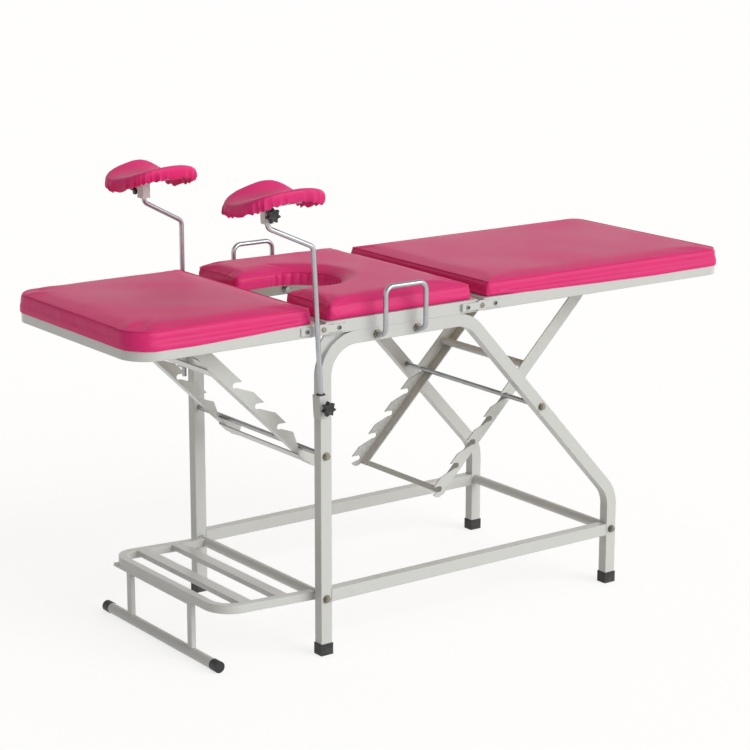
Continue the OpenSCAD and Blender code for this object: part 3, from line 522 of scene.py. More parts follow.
def wire(tree, shader, **sockets):
    for label, value in sockets.items():
        tree.put(value, shader.inputs[label.replace("_", " ")])


def rgba(rgb, share=1.0):
    return (rgb[0] * share, rgb[1] * share, rgb[2] * share, 1.0)


def leather_finish():
    base = colours().leather
    material, t, shader, place = new_finish("Pink leather", IOR=1.30)
    grain = t.group(leather_grain(), Vector=place, Scale=760.0, Slack=2.2)
    tone = t.mix(t.ramp(grain["Tone"], 0.3, 0.7), rgba(base, 0.94), rgba(base, 1.03))
    # Painted shade: the crevices between the pebbles of the grain are darkened in the colour
    tone = t.mix(t.ramp(grain["Pebble"], 0.0, 0.5, 0.18, 0.0), tone, rgba(base, 0.6))
    rough = t.ramp(grain["Tone"], 0.3, 0.7, 0.36, 0.46)
    wire(t, shader, Base_Color=tone, Roughness=rough, Normal=t.bump(grain["Height"], 0.00025, 0.6))
    return material


def thread_finish():
    base = colours().leather
    material, t, shader, place = new_finish("Sewing thread", IOR=1.5)
    twist = t.wave(place, 900.0, 2.0)
    # The thread is darker than the leather; painted shade also darkens the grooves of its twist, where its
    # bump is low
    wire(t, shader, Base_Color=t.mix(twist, rgba(base, 0.7), rgba(base, 0.95)))
    wire(t, shader, Roughness=t.ramp(twist, 0, 1, 0.5, 0.7), Normal=t.bump(twist, 0.0001))
    return material


def enamel_finish():
    base = colours().enamel
    material, t, shader, place = new_finish("White enamel", IOR=1.5, Coat_Roughness=0.12, Coat_Weight=0.25)
    coat = t.group(coat_texture(), Vector=place, Peel_scale=420.0)
    edges = t.group(soft_edges(), Vector=place, Radius=0.0022)
    floor = t.group(near_floor(), Vector=place, Reach=0.12)
    tone = t.mix(t.ramp(coat["Tone"], 0.3, 0.7), rgba(base, 0.985), rgba(base, 1.01))
    for mask, share, dirt in (
        (coat["Dust"], 0.006, SETTLED_DUST),
        (floor["Mask"], 0.06, SCUFFED_ENAMEL),
        (edges["Wear"], 0.07, WORN_ENAMEL),
    ):
        tone = t.mix(t.math("MULTIPLY", mask, share), tone, dirt)
    wire(t, shader, Base_Color=tone, Roughness=t.ramp(coat["Dust"], 0.0, 1.0, 0.29, 0.32))
    wire(t, shader, Normal=t.bump(coat["Height"], 0.00012, 0.25, Normal=edges["Normal"]))
    return material


def metal_finish(name, base, rough, brushed, tarnish):
    material, t, shader, place = new_finish(name, Metallic=1.0)
    lines = t.noise(t.stretch(place, brushed), 900.0, 3.0, 0.6)
    patches = t.noise(place, 30.0, 4.0, 0.6)
    edges = t.group(soft_edges(), Vector=place, Radius=0.0008)
    tone = t.mix(t.ramp(patches, 0.45, 0.75, 0.0, tarnish), rgba(base), rgba(base, 0.45))
    wire(t, shader, Base_Color=t.mix(t.ramp(lines, 0.3, 0.7, 0.0, 0.15), tone, rgba(base, 0.7)))
    wire(t, shader, Roughness=t.ramp(patches, 0.3, 0.7, rough, rough * 1.6))
    wire(t, shader, Normal=t.bump(lines, 0.00003, 0.35, Normal=edges["Normal"]))
    return material


def moulded_finish(name, base, rough, grain_scale, dusty):
    material, t, shader, place = new_finish(name, IOR=1.49)
    coat = t.group(coat_texture(), Vector=place, Peel_scale=grain_scale)
    edges = t.group(soft_edges(), Vector=place, Radius=0.0012)
    floor = t.group(near_floor(), Vector=place, Reach=0.03)
    tone = t.mix(t.math("MULTIPLY", edges["Wear"], 0.25), rgba(base), rgba(base, 3.5))
    tone = t.mix(t.math("MULTIPLY", floor["Mask"], dusty), tone, FLOOR_DUST)
    wire(t, shader, Base_Color=tone, Roughness=t.ramp(coat["Tone"], 0.3, 0.7, rough, rough * 1.25))
    wire(t, shader, Normal=t.bump(coat["Height"], 0.0001, 0.6, Normal=edges["Normal"]))
    return material


def plywood_finish():
    base = colours().wood
    material, t, shader, place = new_finish("Plywood", IOR=1.45)
    along = t.stretch(place, (1.0, 9.0, 9.0))
    figure = t.wave(along, 2.2, 5.0, 3.0, bands_direction="Y")
    fibre = t.noise(along, 160.0, 4.0, 0.65)
    plies = t.wave(place, 70.0, bands_direction="Z")
    facing = t.part(t.out("ShaderNodeNewGeometry", output="Normal"), "Z")
    edge = t.ramp(t.math("ABSOLUTE", facing), 0.5, 0.3)
    face = t.mix(figure, rgba(base, 0.82), rgba(base, 1.05))
    face = t.mix(t.ramp(fibre, 0.35, 0.7, 0.0, 0.35), face, rgba(base, 0.6))
    tone = t.mix(edge, face, t.mix(plies, rgba(base, 0.5), rgba(base, 0.95)))
    wire(t, shader, Base_Color=tone, Roughness=t.ramp(fibre, 0.3, 0.7, 0.55, 0.72))
    wire(t, shader, Normal=t.bump(fibre, 0.0002, 0.5))
    return material


FINISHES = {
    "pink_leather": leather_finish,
    "thread": thread_finish,
    "white_enamel": enamel_finish,
    "chrome": lambda: metal_finish("Chrome", colours().chrome, 0.27, (1, 1, 0.1), 0.25),
    "dark_steel": lambda: metal_finish("Steel rod", colours().rod, 0.26, (1, 0.05, 1), 0.4),
    "zinc": lambda: metal_finish("Yellow zinc", colours().brass, 0.3, (1, 1, 1), 0.7),
    "screw_steel": lambda: metal_finish("Screw steel", colours().screw, 0.35, (1, 1, 1), 0.5),
    "black_plastic": lambda: moulded_finish("Black plastic", colours().plastic, 0.36, 900.0, 0.0),
    "rubber": lambda: moulded_finish("Black rubber", colours().rubber, 0.55, 500.0, 0.35),
    "plywood": plywood_finish,
}
_made = {}

# The first word that is found in a node's name says its finish
NODE_FINISHES = {
    "cushion": "pink_leather", "knee_pad": "pink_leather", "board": "plywood", "knob": "black_plastic",
    "feet": "rubber", "caps": "black_plastic", "bush": "black_plastic", "holder_rod": "chrome",
    "hand_grip_nuts": "zinc", "hand_grip": "chrome", "locking_rod": "dark_steel", "bolts": "zinc",
    "pins": "zinc",
}
SHARP = math.radians(32)


def finish(slot):
    if slot not in _made:
        _made[slot] = FINISHES[slot]()
    return _made[slot]


def dress(obj, slot):
    obj.data.materials.clear()
    obj.data.materials.append(finish(slot))
    return obj


def body_of(node):
    for body, nodes in frame["record"]["behaviour"]["bodies"].items():
        if node in nodes:
            return body
    raise RuntimeError("No body holds " + node)


def own_piece(obj, body, *replaced, slot=None, fill=None):
    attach(obj, body)
    if replaced:
        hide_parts(*replaced)
    return obj


class TABLE_OT_finishes(bpy.types.Operator):
    """Gives every CAD node its finish"""

    bl_idname = "exam_table.finishes"
    bl_label = "Finishes of the frame"

    def execute(self, context):
        for name, obj in NODES.items():
            dress(obj, next((slot for word, slot in NODE_FINISHES.items() if word in name), "white_enamel"))
            shade_smooth(obj.data)
            weld = obj.modifiers.new("Weld", "WELD")
            weld.merge_threshold = 0.00001
            split = obj.modifiers.new("Sharp edges", "EDGE_SPLIT")
            split.split_angle = SHARP
        return {"FINISHED"}


# Stage

CAMERA_PLACE = (-3.1977, -4.3419, 1.8938)
CAMERA_YAW, CAMERA_PITCH, CAMERA_ROLL = 36.335, 13.977, 0.155
CAMERA_LENS, CAMERA_SENSOR, CAMERA_SHIFT = 106.87, 36.0, (-0.0100, 0.0079)
SUN_FROM, SUN_STRENGTH, SUN_SPREAD, SUN_COLOUR = (0.42, -0.86, 0.42), 1.85, 50, (0.99, 1.0, 0.985)
# Strength of the room's light from the far left to the far right, and of its reflection from low to overhead
FILL_ENDS, MIRROR_ENDS = (0.31, 0.62), (0.95, 0.42)
FILL_COLOUR = (1.0, 0.945, 0.895, 1)
FLOOR_HALF, FLOOR_DROP = 60.0, 0.0003
FLOOR_COLOUR, FLOOR_GLOW, FLOOR_GLOW_SHARE = (0.86, 0.86, 0.86, 1), 1.24, 0.62


def place_camera(scene):
    yaw, pitch, roll = (math.radians(a) for a in (CAMERA_YAW, CAMERA_PITCH, CAMERA_ROLL))
    flat = Vector((math.sin(yaw), math.cos(yaw), 0))
    right = Vector((math.cos(yaw), -math.sin(yaw), 0))
    up = Vector((0, 0, 1))
    ahead = flat * math.cos(pitch) - up * math.sin(pitch)
    above = up * math.cos(pitch) + flat * math.sin(pitch)
    x_axis = right * math.cos(roll) + above * math.sin(roll)
    y_axis = above * math.cos(roll) - right * math.sin(roll)
    turned = Matrix((x_axis, y_axis, -ahead)).transposed().to_4x4()
    camera = bpy.data.objects.new("Camera", bpy.data.cameras.new("Camera"))
    camera.matrix_world = Matrix.Translation(CAMERA_PLACE) @ turned
    camera.data.sensor_width, camera.data.lens = CAMERA_SENSOR, CAMERA_LENS
    camera.data.shift_x, camera.data.shift_y = CAMERA_SHIFT
    scene.collection.objects.link(camera)
    scene.camera = camera


def light_studio(scene):
    key = bpy.data.lights.new("Key", "SUN")
    key.energy, key.angle, key.color = SUN_STRENGTH, math.radians(SUN_SPREAD), SUN_COLOUR
    lamp = bpy.data.objects.new("Key", key)
    lamp.rotation_euler = Vector(SUN_FROM).to_track_quat("Z", "Y").to_euler()
    scene.collection.objects.link(lamp)

    world = bpy.data.worlds.new("Studio")
    world.use_nodes = True
    world.node_tree.nodes.clear()
    scene.world = world
    t = Tree(world.node_tree)
    path = t.add("ShaderNodeLightPath").outputs
    direction = t.out("ShaderNodeTexCoord", output="Generated")

    def glow(colour, strength):
        return t.out("ShaderNodeBackground", {"Color": colour, "Strength": strength})

    mirrored = glow(WHITE, t.ramp(t.part(direction, "Z"), 0.25, 0.7, *MIRROR_ENDS))
    light = glow(FILL_COLOUR, t.ramp(t.part(direction, "X"), -0.7, 0.7, *FILL_ENDS))
    polished = t.math("ADD", path["Is Glossy Ray"], path["Is Transmission Ray"], clamp=True)
    both = t.blend(path["Is Camera Ray"], t.blend(polished, light, mirrored), glow(WHITE, 1.0))
    t.add("ShaderNodeOutputWorld", {"Surface": both})


def lay_floor():
    corners = [(x * FLOOR_HALF, y * FLOOR_HALF, -FLOOR_DROP) for x, y in ((-1, -1), (1, -1), (1, 1), (-1, 1))]
    floor = mesh_object("floor", corners, [(0, 1, 2, 3)])
    material = bpy.data.materials.new("Floor")
    material.use_nodes = True
    material.node_tree.nodes.clear()
    t = Tree(material.node_tree)
    path = t.add("ShaderNodeLightPath").outputs
    seen = t.math("ADD", path["Is Camera Ray"], path["Is Glossy Ray"], clamp=True)
    seen = t.math("ADD", seen, path["Is Transmission Ray"], clamp=True)
    lit = t.out("ShaderNodeBsdfDiffuse", {"Color": FLOOR_COLOUR})
    pale = t.out("ShaderNodeEmission", {"Color": WHITE, "Strength": FLOOR_GLOW})
    both = t.blend(t.math("MULTIPLY", seen, FLOOR_GLOW_SHARE), lit, pale)
    t.add("ShaderNodeOutputMaterial", {"Surface": both})
    floor.data.materials.append(material)


class TABLE_OT_stage(bpy.types.Operator):
    """Adds the camera, the soft light and the pale floor"""

    bl_idname = "exam_table.stage"
    bl_label = "Camera, light and floor"

    def execute(self, context):
        context.scene.view_settings.view_transform = "Standard"
        place_camera(context.scene)
        light_studio(context.scene)
        lay_floor()
        return {"FINISHED"}


# Covers of the three sections: the body that each rides on, and its seed

SECTIONS = {"leg": ("leg_section", 11), "seat": ("base", 23), "back": ("back_section", 37)}
# Height of a pad's rim over its foot
SIDE_HEIGHT = 0.034
# Points along a leg or back pad's sides, and along its ends
SIDE_STEPS, END_STEPS = {"leg": 14, "back": 18}, 14
# Levels of a pad as shares: height up its side, how far it is drawn in, and how far its hinge face leans back
LEVELS = [
    (0.00, 0.75, 0.00), (0.08, 0.50, 0.05), (0.25, 0.22, 0.18), (0.40, 0.06, 0.29), (0.52, 0.0, 0.40),
    (0.66, 0.02, 0.54), (0.80, 0.10, 0.68), (0.90, 0.22, 0.82), (0.96, 0.34, 0.93), (1.00, 0.50, 1.05),
]
# Waves that are summed on a cover's top, sides and foot: how many, the shortest and the longest
TOP_WAVES, SIDE_WAVES, FOOT_WAVES = (9, 0.12, 0.4), (12, 0.03, 0.11), (8, 0.06, 0.3)
# Distances in from a pad's outline: where its wavy foot and its side end, where its top's waves start and are
# full, where its underside starts and ends its step up over the board, and how much of it lies on the frame
FOOT_BAND, SIDE_BAND, TOP_START, TOP_FULL = 0.008, 0.02, 0.01, 0.08
BOARD_NEAR, BOARD_FAR, FRAME_BAND = 0.0085, 0.0115, 0.0058
# Heights over a pad's foot between which its underside ends, and the reach of the folds at a hinge corner
UNDER_FULL, UNDER_END, FOLD_REACH = 0.002, 0.006, 0.035
# How far past the cut-out's radius its gathers are whole, and end, and where they fade out before its mouth
PLEAT_FULL, PLEAT_END, PLEAT_FADE = 0.006, 0.016, 0.02
# Height of the seam as a share of a pad's side, how far its middle stands out as a share of its radius,
# and the spacing of the points that it runs through
SEAM_LEVEL, SEAM_LIFT, SEAM_SPACING = 0.985, 0.55, 0.006


def section_outline(key, low, high, drawn, lean):
    return (seat_outline if key == "seat" else slab_outline)(key, low, high, drawn, lean)


def slab_outline(key, low, high, drawn, lean):
    """Outline of the leg pad, which is hinged at its right, or of the back pad, hinged at its left."""
    u = upholstery()
    inset, back = drawn * u.side_draw, lean * u.hinge_lean
    y, steps, bow = high[1] - inset, SIDE_STEPS[key], u.side_bow
    if key == "leg":
        x0, left, left_bow = low[0] + inset, u.leg_corner, bow
        x1, right, right_bow = high[0] - back, u.hinge_corner, 0
    else:
        x0, left, left_bow = low[0] + back, u.hinge_corner, 0
        x1, right, right_bow = high[0] - inset, u.back_corner, bow
    return round_loop([
        (x0, -y, left, steps, bow), (x1, -y, right, END_STEPS, right_bow),
        (x1, y, right, steps, bow), (x0, y, left, END_STEPS, left_bow),
    ])


def seat_outline(key, low, high, drawn, lean):
    """Outline of the seat pad with its cut-out, which widens a little towards its mouth."""
    u = upholstery()
    inset, back = drawn * u.side_draw, lean * u.hinge_lean
    x0, x1, y = low[0] + back, high[0] - back, high[1] - inset
    middle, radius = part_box("seat_frame")[0][0] + u.cut_out_centre, u.cut_out_radius + inset
    mouth = radius * (0.96 - 0.04 * (middle - x0 - u.cut_out_centre) / u.cut_out_centre)
    turns = np.linspace(math.pi / 2, -math.pi / 2, 41)
    arc = [(middle + radius * math.cos(a), radius * math.sin(a), 0, 0, 0) for a in turns]
    corner, bow, front, cheek = u.hinge_corner, u.side_bow, 6, 8
    return round_loop(
        [(x0, -y, corner, front, bow), (x1, -y, corner, END_STEPS, 0), (x1, y, corner, END_STEPS, bow)]
        + [(x0, y, corner, front, 0), (x0, mouth, corner, cheek, 0)]
        + arc[:-1] + [(*arc[-1][:2], 0, cheek, 0), (x0, -mouth, corner, front, 0)]
    )


def lofted(key, low, high):
    """A pad's closed body from its outline at each level."""
    rings = []
    for share, drawn, lean in LEVELS:
        loop = section_outline(key, low, high, drawn, lean)
        rings.append(np.c_[loop, np.full(len(loop), low[2] + share * SIDE_HEIGHT)])
    n = len(rings[0])
    ends = [tuple(range(n - 1, -1, -1)), tuple(range((len(rings) - 1) * n, len(rings) * n))]
    return face_outward(mesh_object(key + "_cover", np.concatenate(rings), ring_faces(len(rings), n) + ends))


def section_cover(key):
    """Lofts a pad, raises its crown, puffs it up and gives its cover its slack."""
    u = upholstery()
    seed = SECTIONS[key][1]
    low, high = (np.array(c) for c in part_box(key + "_cushion"))
    foot = low[2]
    obj = remesh(lofted(key, low, high), u.voxel)
    loop = section_outline(key, low, high, 0.0, 0.5)
    points = points_of(obj)
    inside, _ = nearest_on(points[:, :2], loop)
    top = smooth(foot + SIDE_HEIGHT * 0.5, foot + SIDE_HEIGHT, points[:, 2])
    rise = 1 - (1 - np.clip(inside / u.crown_reach, 0, 1)) ** 2.6
    points[:, 2] += top * getattr(u, key + "_crown") * rise
    set_points(obj, points)
    puff(obj, points[:, 2] < foot + SIDE_HEIGHT * 0.3, u.puff_limit)
    subdivide(obj)

    points, normals = points_of(obj), normals_of(obj)
    inside, _ = nearest_on(points[:, :2], loop)
    share = np.clip((points[:, 2] - foot) / SIDE_HEIGHT, 0, 1)
    flat = points[:, :2].copy()
    side = smooth(SIDE_BAND, 0.0, inside) * (1 - np.abs(normals[:, 2]))
    # Slack of the stretched cover on its top and sides, then a wavy foot
    top = smooth(0.6, 1.0, share) * smooth(TOP_START, TOP_FULL, inside)
    soft = waves(flat, *TOP_WAVES, seed) * u.slack * top
    soft += waves(flat, *SIDE_WAVES, seed + 1) * u.slack * side
    points += normals * soft[:, None]
    foot_waves = waves(points[:, :2], *FOOT_WAVES, seed + 2) * u.foot_wave
    points[:, 2] += foot_waves * smooth(0.3, 0.0, share) * smooth(FOOT_BAND, 0.0, inside)
    # Short folds where the cover is turned in at the hinge corners
    for x in {"leg": (high[0],), "back": (low[0],), "seat": (low[0], high[0])}[key]:
        for y in (low[1], high[1]):
            away = np.hypot(points[:, 0] - x, points[:, 1] - y)
            fold = np.sin(share * 9.0 + away * 260.0) * np.exp(-((away / FOLD_REACH) ** 2))
            points += normals * (u.corner_fold * fold * side)[:, None]
    if key == "seat":
        pleat(points, foot)
    # The underside is recessed over the board
    under = smooth(foot + UNDER_END, foot + UNDER_FULL, points[:, 2])
    points[:, 2] += under * u.board_recess * smooth(BOARD_NEAR, BOARD_FAR, inside)
    if key != "seat":
        hang_over_frame(key, points, share, inside)
    set_points(obj, points)
    return dress(obj, "pink_leather"), loop, foot


def hang_over_frame(key, points, share, inside):
    """Hangs the foot of a cover down over its frame's sides, but not beside the hinges."""
    u = upholstery()
    (x0, _, _), (x1, y, _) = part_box(key + "_frame")
    free, hinge, radius = (x0, x1, u.leg_corner) if key == "leg" else (x1, x0, u.back_corner)
    corners, square = ((x0, -y), (x1, -y), (x1, y), (x0, y)), 0.002
    loop = round_loop([(x, side, radius if x == free else square, END_STEPS, 0) for x, side in corners])
    away = (points[:, 0] - hinge) / (free - hinge)
    # The lower sides are laid along the frame's outline, moved outward
    skin = smooth(0.42, 0.24, share) * smooth(BOARD_NEAR, FRAME_BAND, inside) * smooth(0.05, 0.13, away)
    _, places = nearest_on(points[:, :2], loop, u.past_frame)
    points[:, :2] += (places - points[:, :2]) * skin[:, None]
    # Their foot is drawn down, from nothing beside the hinge to the whole hang towards the free end
    edge = smooth(0.5, 0.0, share) * smooth(BOARD_FAR, BOARD_NEAR, inside)
    points[:, 2] -= u.hang * (edge * np.clip((away - 0.10) / 0.60, 0, 1))


def pleat(points, foot):
    """Gathers the band round the curve of the cut-out, but not its straight mouth."""
    u = upholstery()
    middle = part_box("seat_frame")[0][0] + u.cut_out_centre
    dx, dy = points[:, 0] - middle, points[:, 1]
    radius, angle = np.hypot(dx, dy), np.arctan2(dy, dx)
    share = np.clip((points[:, 2] - foot) / SIDE_HEIGHT, 0, 1.1)
    band = smooth(u.cut_out_radius + PLEAT_END, u.cut_out_radius + PLEAT_FULL, radius) * (dx > -PLEAT_FADE)
    along = smooth(-PLEAT_FADE, PLEAT_FADE, dx)
    turn = angle + 0.05 * np.sin(angle * 3.1 + 1.0) + 0.03 * np.sin(angle * 7.7)
    fold = np.abs(np.sin(turn * u.pleats / 2 + share * 0.35)) ** 0.7
    depth = u.pleat_depth * (0.75 + 0.25 * np.sin(angle * 5.0 + 0.6))
    depth *= smooth(1.02, 0.75, share) * smooth(-0.1, 0.2, share)
    shift = band * along * depth * (fold - 0.45)
    points[:, :2] -= unit(np.c_[dx, dy]) * shift[:, None]


class TABLE_OT_section_covers(bpy.types.Operator):
    """Makes the padded covers of the leg, seat and back sections, with their rim seams"""

    bl_idname = "exam_table.section_covers"
    bl_label = "Section covers and seams"

    def execute(self, context):
        for key, (body, _) in SECTIONS.items():
            obj, loop, foot = section_cover(key)
            own_piece(obj, body, key + "_cushion", slot="pink_leather", fill=0.7)
            own_piece(rim_seam(key, obj, loop, foot), body, slot="pink_leather")
        return {"FINISHED"}


# Pieces grown by Geometry Nodes: seams, screws and welds


def growing_tree(name, sizes, materials, build):
    """A tree that works on an object's mesh. build(tree, inputs) gives the geometry that it puts out."""
    inputs = {"Geometry": GEOMETRY, **dict.fromkeys(sizes, FLOAT), **dict.fromkeys(materials, MATERIAL)}
    outputs = {"Geometry": GEOMETRY}
    return node_group(name, "GeometryNodeTree", inputs, outputs, lambda t, i: {"Geometry": build(t, i)})


def grow(obj, group, **values):
    """Runs a tree on an object and keeps its result as a plain mesh."""
    modifier = obj.modifiers.new(group.name, "NODES")
    modifier.node_group = group
    for item in group.interface.items_tree:
        if item.item_type == "SOCKET" and item.in_out == "INPUT" and item.name.replace(" ", "_") in values:
            modifier[item.identifier] = values[item.name.replace(" ", "_")]
    obj.data.update()
    return apply_modifiers(obj)


def seam_tree():
    """A piped seam along a path, with a row of stitches under it."""

    def build(t, i):
        curve = t.out("GeometryNodeMeshToCurve", {"Mesh": i["Geometry"]})
        ring = t.out("GeometryNodeCurvePrimitiveCircle", {"Resolution": 8, "Radius": i["Seam radius"]})
        piping = t.out("GeometryNodeCurveToMesh", {"Curve": curve, "Profile Curve": ring})
        piping = t.paint(piping, i["Leather"])
        spaced = {"Curve": curve, "Length": i["Stitch pitch"]}
        spaced = t.out("GeometryNodeResampleCurve", spaced, mode="LENGTH")
        stitch = t.out("GeometryNodeMeshUVSphere", {"Segments": 6, "Rings": 5, "Radius": 1.0})
        half = t.math("MULTIPLY", i["Stitch length"], 0.5)
        size = t.vector(X=i["Stitch radius"], Y=i["Stitch radius"], Z=half)
        stitch = t.out("GeometryNodeTransform", {"Geometry": stitch, "Scale": size})
        tangent = t.out("GeometryNodeInputTangent")
        along = t.out("FunctionNodeAlignRotationToVector", {"Vector": tangent}, axis="Z")
        placed = {"Points": spaced, "Instance": stitch, "Rotation": along}
        placed = {
            "Instances": t.out("GeometryNodeInstanceOnPoints", placed),
            "Translation": t.vector(Z=t.math("MULTIPLY", i["Stitch drop"], -1.0)),
            "Local Space": False,
        }
        placed = t.out("GeometryNodeTranslateInstances", placed)
        real = t.paint(t.out("GeometryNodeRealizeInstances", {"Geometry": placed}), i["Thread"])
        return t.out("GeometryNodeSetShadeSmooth", {"Geometry": t.merge(piping, real)})

    sizes = ("Seam radius", "Stitch pitch", "Stitch length", "Stitch radius", "Stitch drop")
    materials = ("Leather", "Thread")
    return growing_tree("Rim seam", sizes, materials, build)


def surface_path(obj, loop, height, lift, out=0.03):
    """Where a cover's surface meets a height, seen from outside its outline."""
    corners = [tuple(f.vertices) for f in obj.data.polygons]
    tree = BVHTree.FromPolygons([tuple(p) for p in points_of(obj)], corners)
    tangent = unit(np.roll(loop, -1, axis=0) - np.roll(loop, 1, axis=0))
    path = []
    for p, n in zip(loop, np.c_[tangent[:, 1], -tangent[:, 0]]):
        start = Vector((p[0] + n[0] * out, p[1] + n[1] * out, height))
        hit, normal, _, _ = tree.ray_cast(start, Vector((-n[0], -n[1], 0)), out * 2)
        if hit is not None:
            path.append(np.array(hit + normal * lift))
    return np.array(path)


def evenly(path, spacing):
    """A closed path with its points spaced evenly."""
    closed = np.vstack([path, path[:1]])
    run = np.concatenate([[0], np.cumsum(np.linalg.norm(np.diff(closed, axis=0), axis=1))])
    wanted = np.linspace(0, run[-1], max(int(run[-1] / spacing), 8), endpoint=False)
    return np.c_[tuple(np.interp(wanted, run, closed[:, k]) for k in range(3))]


def rim_seam(key, cover, loop, foot):
    u = upholstery()
    fine = evenly(np.c_[loop, np.zeros(len(loop))], SEAM_SPACING)[:, :2]
    path = surface_path(cover, fine, foot + SIDE_HEIGHT * SEAM_LEVEL, lift=u.seam_radius * SEAM_LIFT)
    n = len(path)
    obj = mesh_object(key + "_rim_seam", path, [], [(i, (i + 1) % n) for i in range(n)])
    return grow(
        obj, seam_tree(), Seam_radius=u.seam_radius, Stitch_pitch=u.stitch_pitch,
        Stitch_length=u.stitch_length, Stitch_radius=u.stitch_radius, Stitch_drop=u.stitch_drop,
        Leather=finish("pink_leather"), Thread=finish("thread"),
    )


def screw_tree():
    """A cross-slotted pan head at each point, facing away from the table's middle."""

    def build(t, i):
        radius, height = i["Screw radius"], i["Screw height"]
        head = t.out("GeometryNodeMeshUVSphere", {"Segments": 24, "Rings": 12, "Radius": 1.0})
        size = t.vector(X=radius, Y=height, Z=radius)
        head = t.out("GeometryNodeTransform", {"Geometry": head, "Scale": size})
        wide, slot = t.math("MULTIPLY", radius, 1.25), t.math("MULTIPLY", radius, 0.26)
        shift = t.vector(Y=t.math("MULTIPLY", height, -1.05))
        bars = []
        for x, z in ((wide, slot), (slot, wide)):
            bar = t.out("GeometryNodeMeshCube", {"Size": t.vector(X=x, Y=height, Z=z)})
            bars.append(t.out("GeometryNodeTransform", {"Geometry": bar, "Translation": shift}))
        cut = {"Mesh 1": head, "Mesh 2": t.merge(*bars)}
        head = t.out("GeometryNodeMeshBoolean", cut, operation="DIFFERENCE")
        across = t.part(t.out("GeometryNodeInputPosition"), "Y")
        far = t.math("MULTIPLY", t.math("GREATER_THAN", across, 0.0), math.pi)
        spin = t.math("MULTIPLY", t.out("GeometryNodeInputIndex"), 2.3)
        spin = t.math("MULTIPLY", t.math("SINE", spin), 0.7)
        placed = {"Points": i["Geometry"], "Instance": head, "Rotation": t.vector(Y=spin, Z=far)}
        placed = t.out("GeometryNodeInstanceOnPoints", placed)
        return t.paint(t.out("GeometryNodeRealizeInstances", {"Geometry": placed}), i["Steel"])

    return growing_tree("Screw heads", ("Screw radius", "Screw height"), ("Steel",), build)


def weld_tree():
    """A rippled bead along every edge of a path."""

    def build(t, i):
        curve = t.out("GeometryNodeMeshToCurve", {"Mesh": i["Geometry"]})
        step = t.math("MULTIPLY", i["Ripple pitch"], 0.25)
        curve = t.out("GeometryNodeResampleCurve", {"Curve": curve, "Length": step}, mode="LENGTH")
        run = t.math("MULTIPLY", t.out("GeometryNodeSplineParameter", output="Length"), 2 * math.pi)
        wave = t.math("SINE", t.math("DIVIDE", run, i["Ripple pitch"]))
        uneven = t.noise(t.out("GeometryNodeInputPosition"), 130.0)
        radius = t.math("ADD", t.math("MULTIPLY", wave, 0.14), t.math("ADD", uneven, 0.5))
        curve = t.out("GeometryNodeSetCurveRadius", {"Curve": curve, "Radius": radius})
        ring = t.out("GeometryNodeCurvePrimitiveCircle", {"Resolution": 8, "Radius": i["Weld radius"]})
        bead = t.out("GeometryNodeCurveToMesh", {"Curve": curve, "Profile Curve": ring, "Scale": radius})
        bead = t.out("GeometryNodeSetShadeSmooth", {"Geometry": bead})
        return t.paint(t.out("GeometryNodeRealizeInstances", {"Geometry": bead}), i["Enamel"])

    return growing_tree("Weld beads", ("Weld radius", "Ripple pitch"), ("Enamel",), build)


class TABLE_OT_screws(bpy.types.Operator):
    """Puts a slotted screw head on every hinge leaf"""

    bl_idname = "exam_table.screws"
    bl_label = "Hinge screws"

    def execute(self, context):
        h = hardware()
        first, last = (corner[0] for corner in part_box("hinge_pins"))
        ends = {
            "fixed": (first + h.fixed_screw, last - h.fixed_screw),
            "leg": (first - h.moving_screw,),
            "back": (last + h.moving_screw,),
        }
        for leaves, places in ends.items():
            node = leaves + "_hinge_leaves"
            low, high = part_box(node)
            z = (low[2] + high[2]) / 2
            points = [(x, y, z) for x in places for y in (low[1] + h.screw_seat, high[1] - h.screw_seat)]
            obj = mesh_object(leaves + "_hinge_screws", points, [])
            sizes = {"Screw_radius": h.screw_radius, "Screw_height": h.screw_seat + h.screw_dome}
            grow(obj, screw_tree(), Steel=finish("screw_steel"), **sizes)
            own_piece(obj, body_of(node), slot="dark_steel")
        return {"FINISHED"}


def rail_end_loops():
    """A square path round each end of both lower rails."""
    tube = hardware().rail_tube
    low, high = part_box("lower_rails")
    return [
        [(x, y, low[2]), (x, y + tube, low[2]), (x, y + tube, high[2]), (x, y, high[2])]
        for x in (low[0], high[0]) for y in (low[1], high[1] - tube)
    ]


def slat_end_loops():
    """A four-cornered path round each end of both slats of the step, from the points of their node."""
    same_plane, same_corner, near_corner = 1e-4, 0.004, 0.9
    points = points_of(NODES["step_slats"])
    reach = np.abs(points[:, 1]).max()
    loops = []
    for side in (-1, 1):
        end = points[np.abs(points[:, 1] - side * reach) < same_plane]
        order = end[np.argsort(end[:, 0])]
        middle_x = order[:, 0].mean()
        for part in (order[order[:, 0] < middle_x], order[order[:, 0] > middle_x]):
            middle = part.mean(axis=0)
            dx, dz = part[:, 0] - middle[0], part[:, 2] - middle[2]
            far = np.hypot(dx, dz)
            corners = []
            for i in np.argsort(np.arctan2(dz, dx)):
                if far[i] <= far.max() * near_corner:
                    continue
                if not corners or np.linalg.norm(part[i] - corners[-1]) > same_corner:
                    corners.append(part[i])
            if len(corners) > 3:
                loops.append([tuple(c) for c in corners[:4]])
    return loops


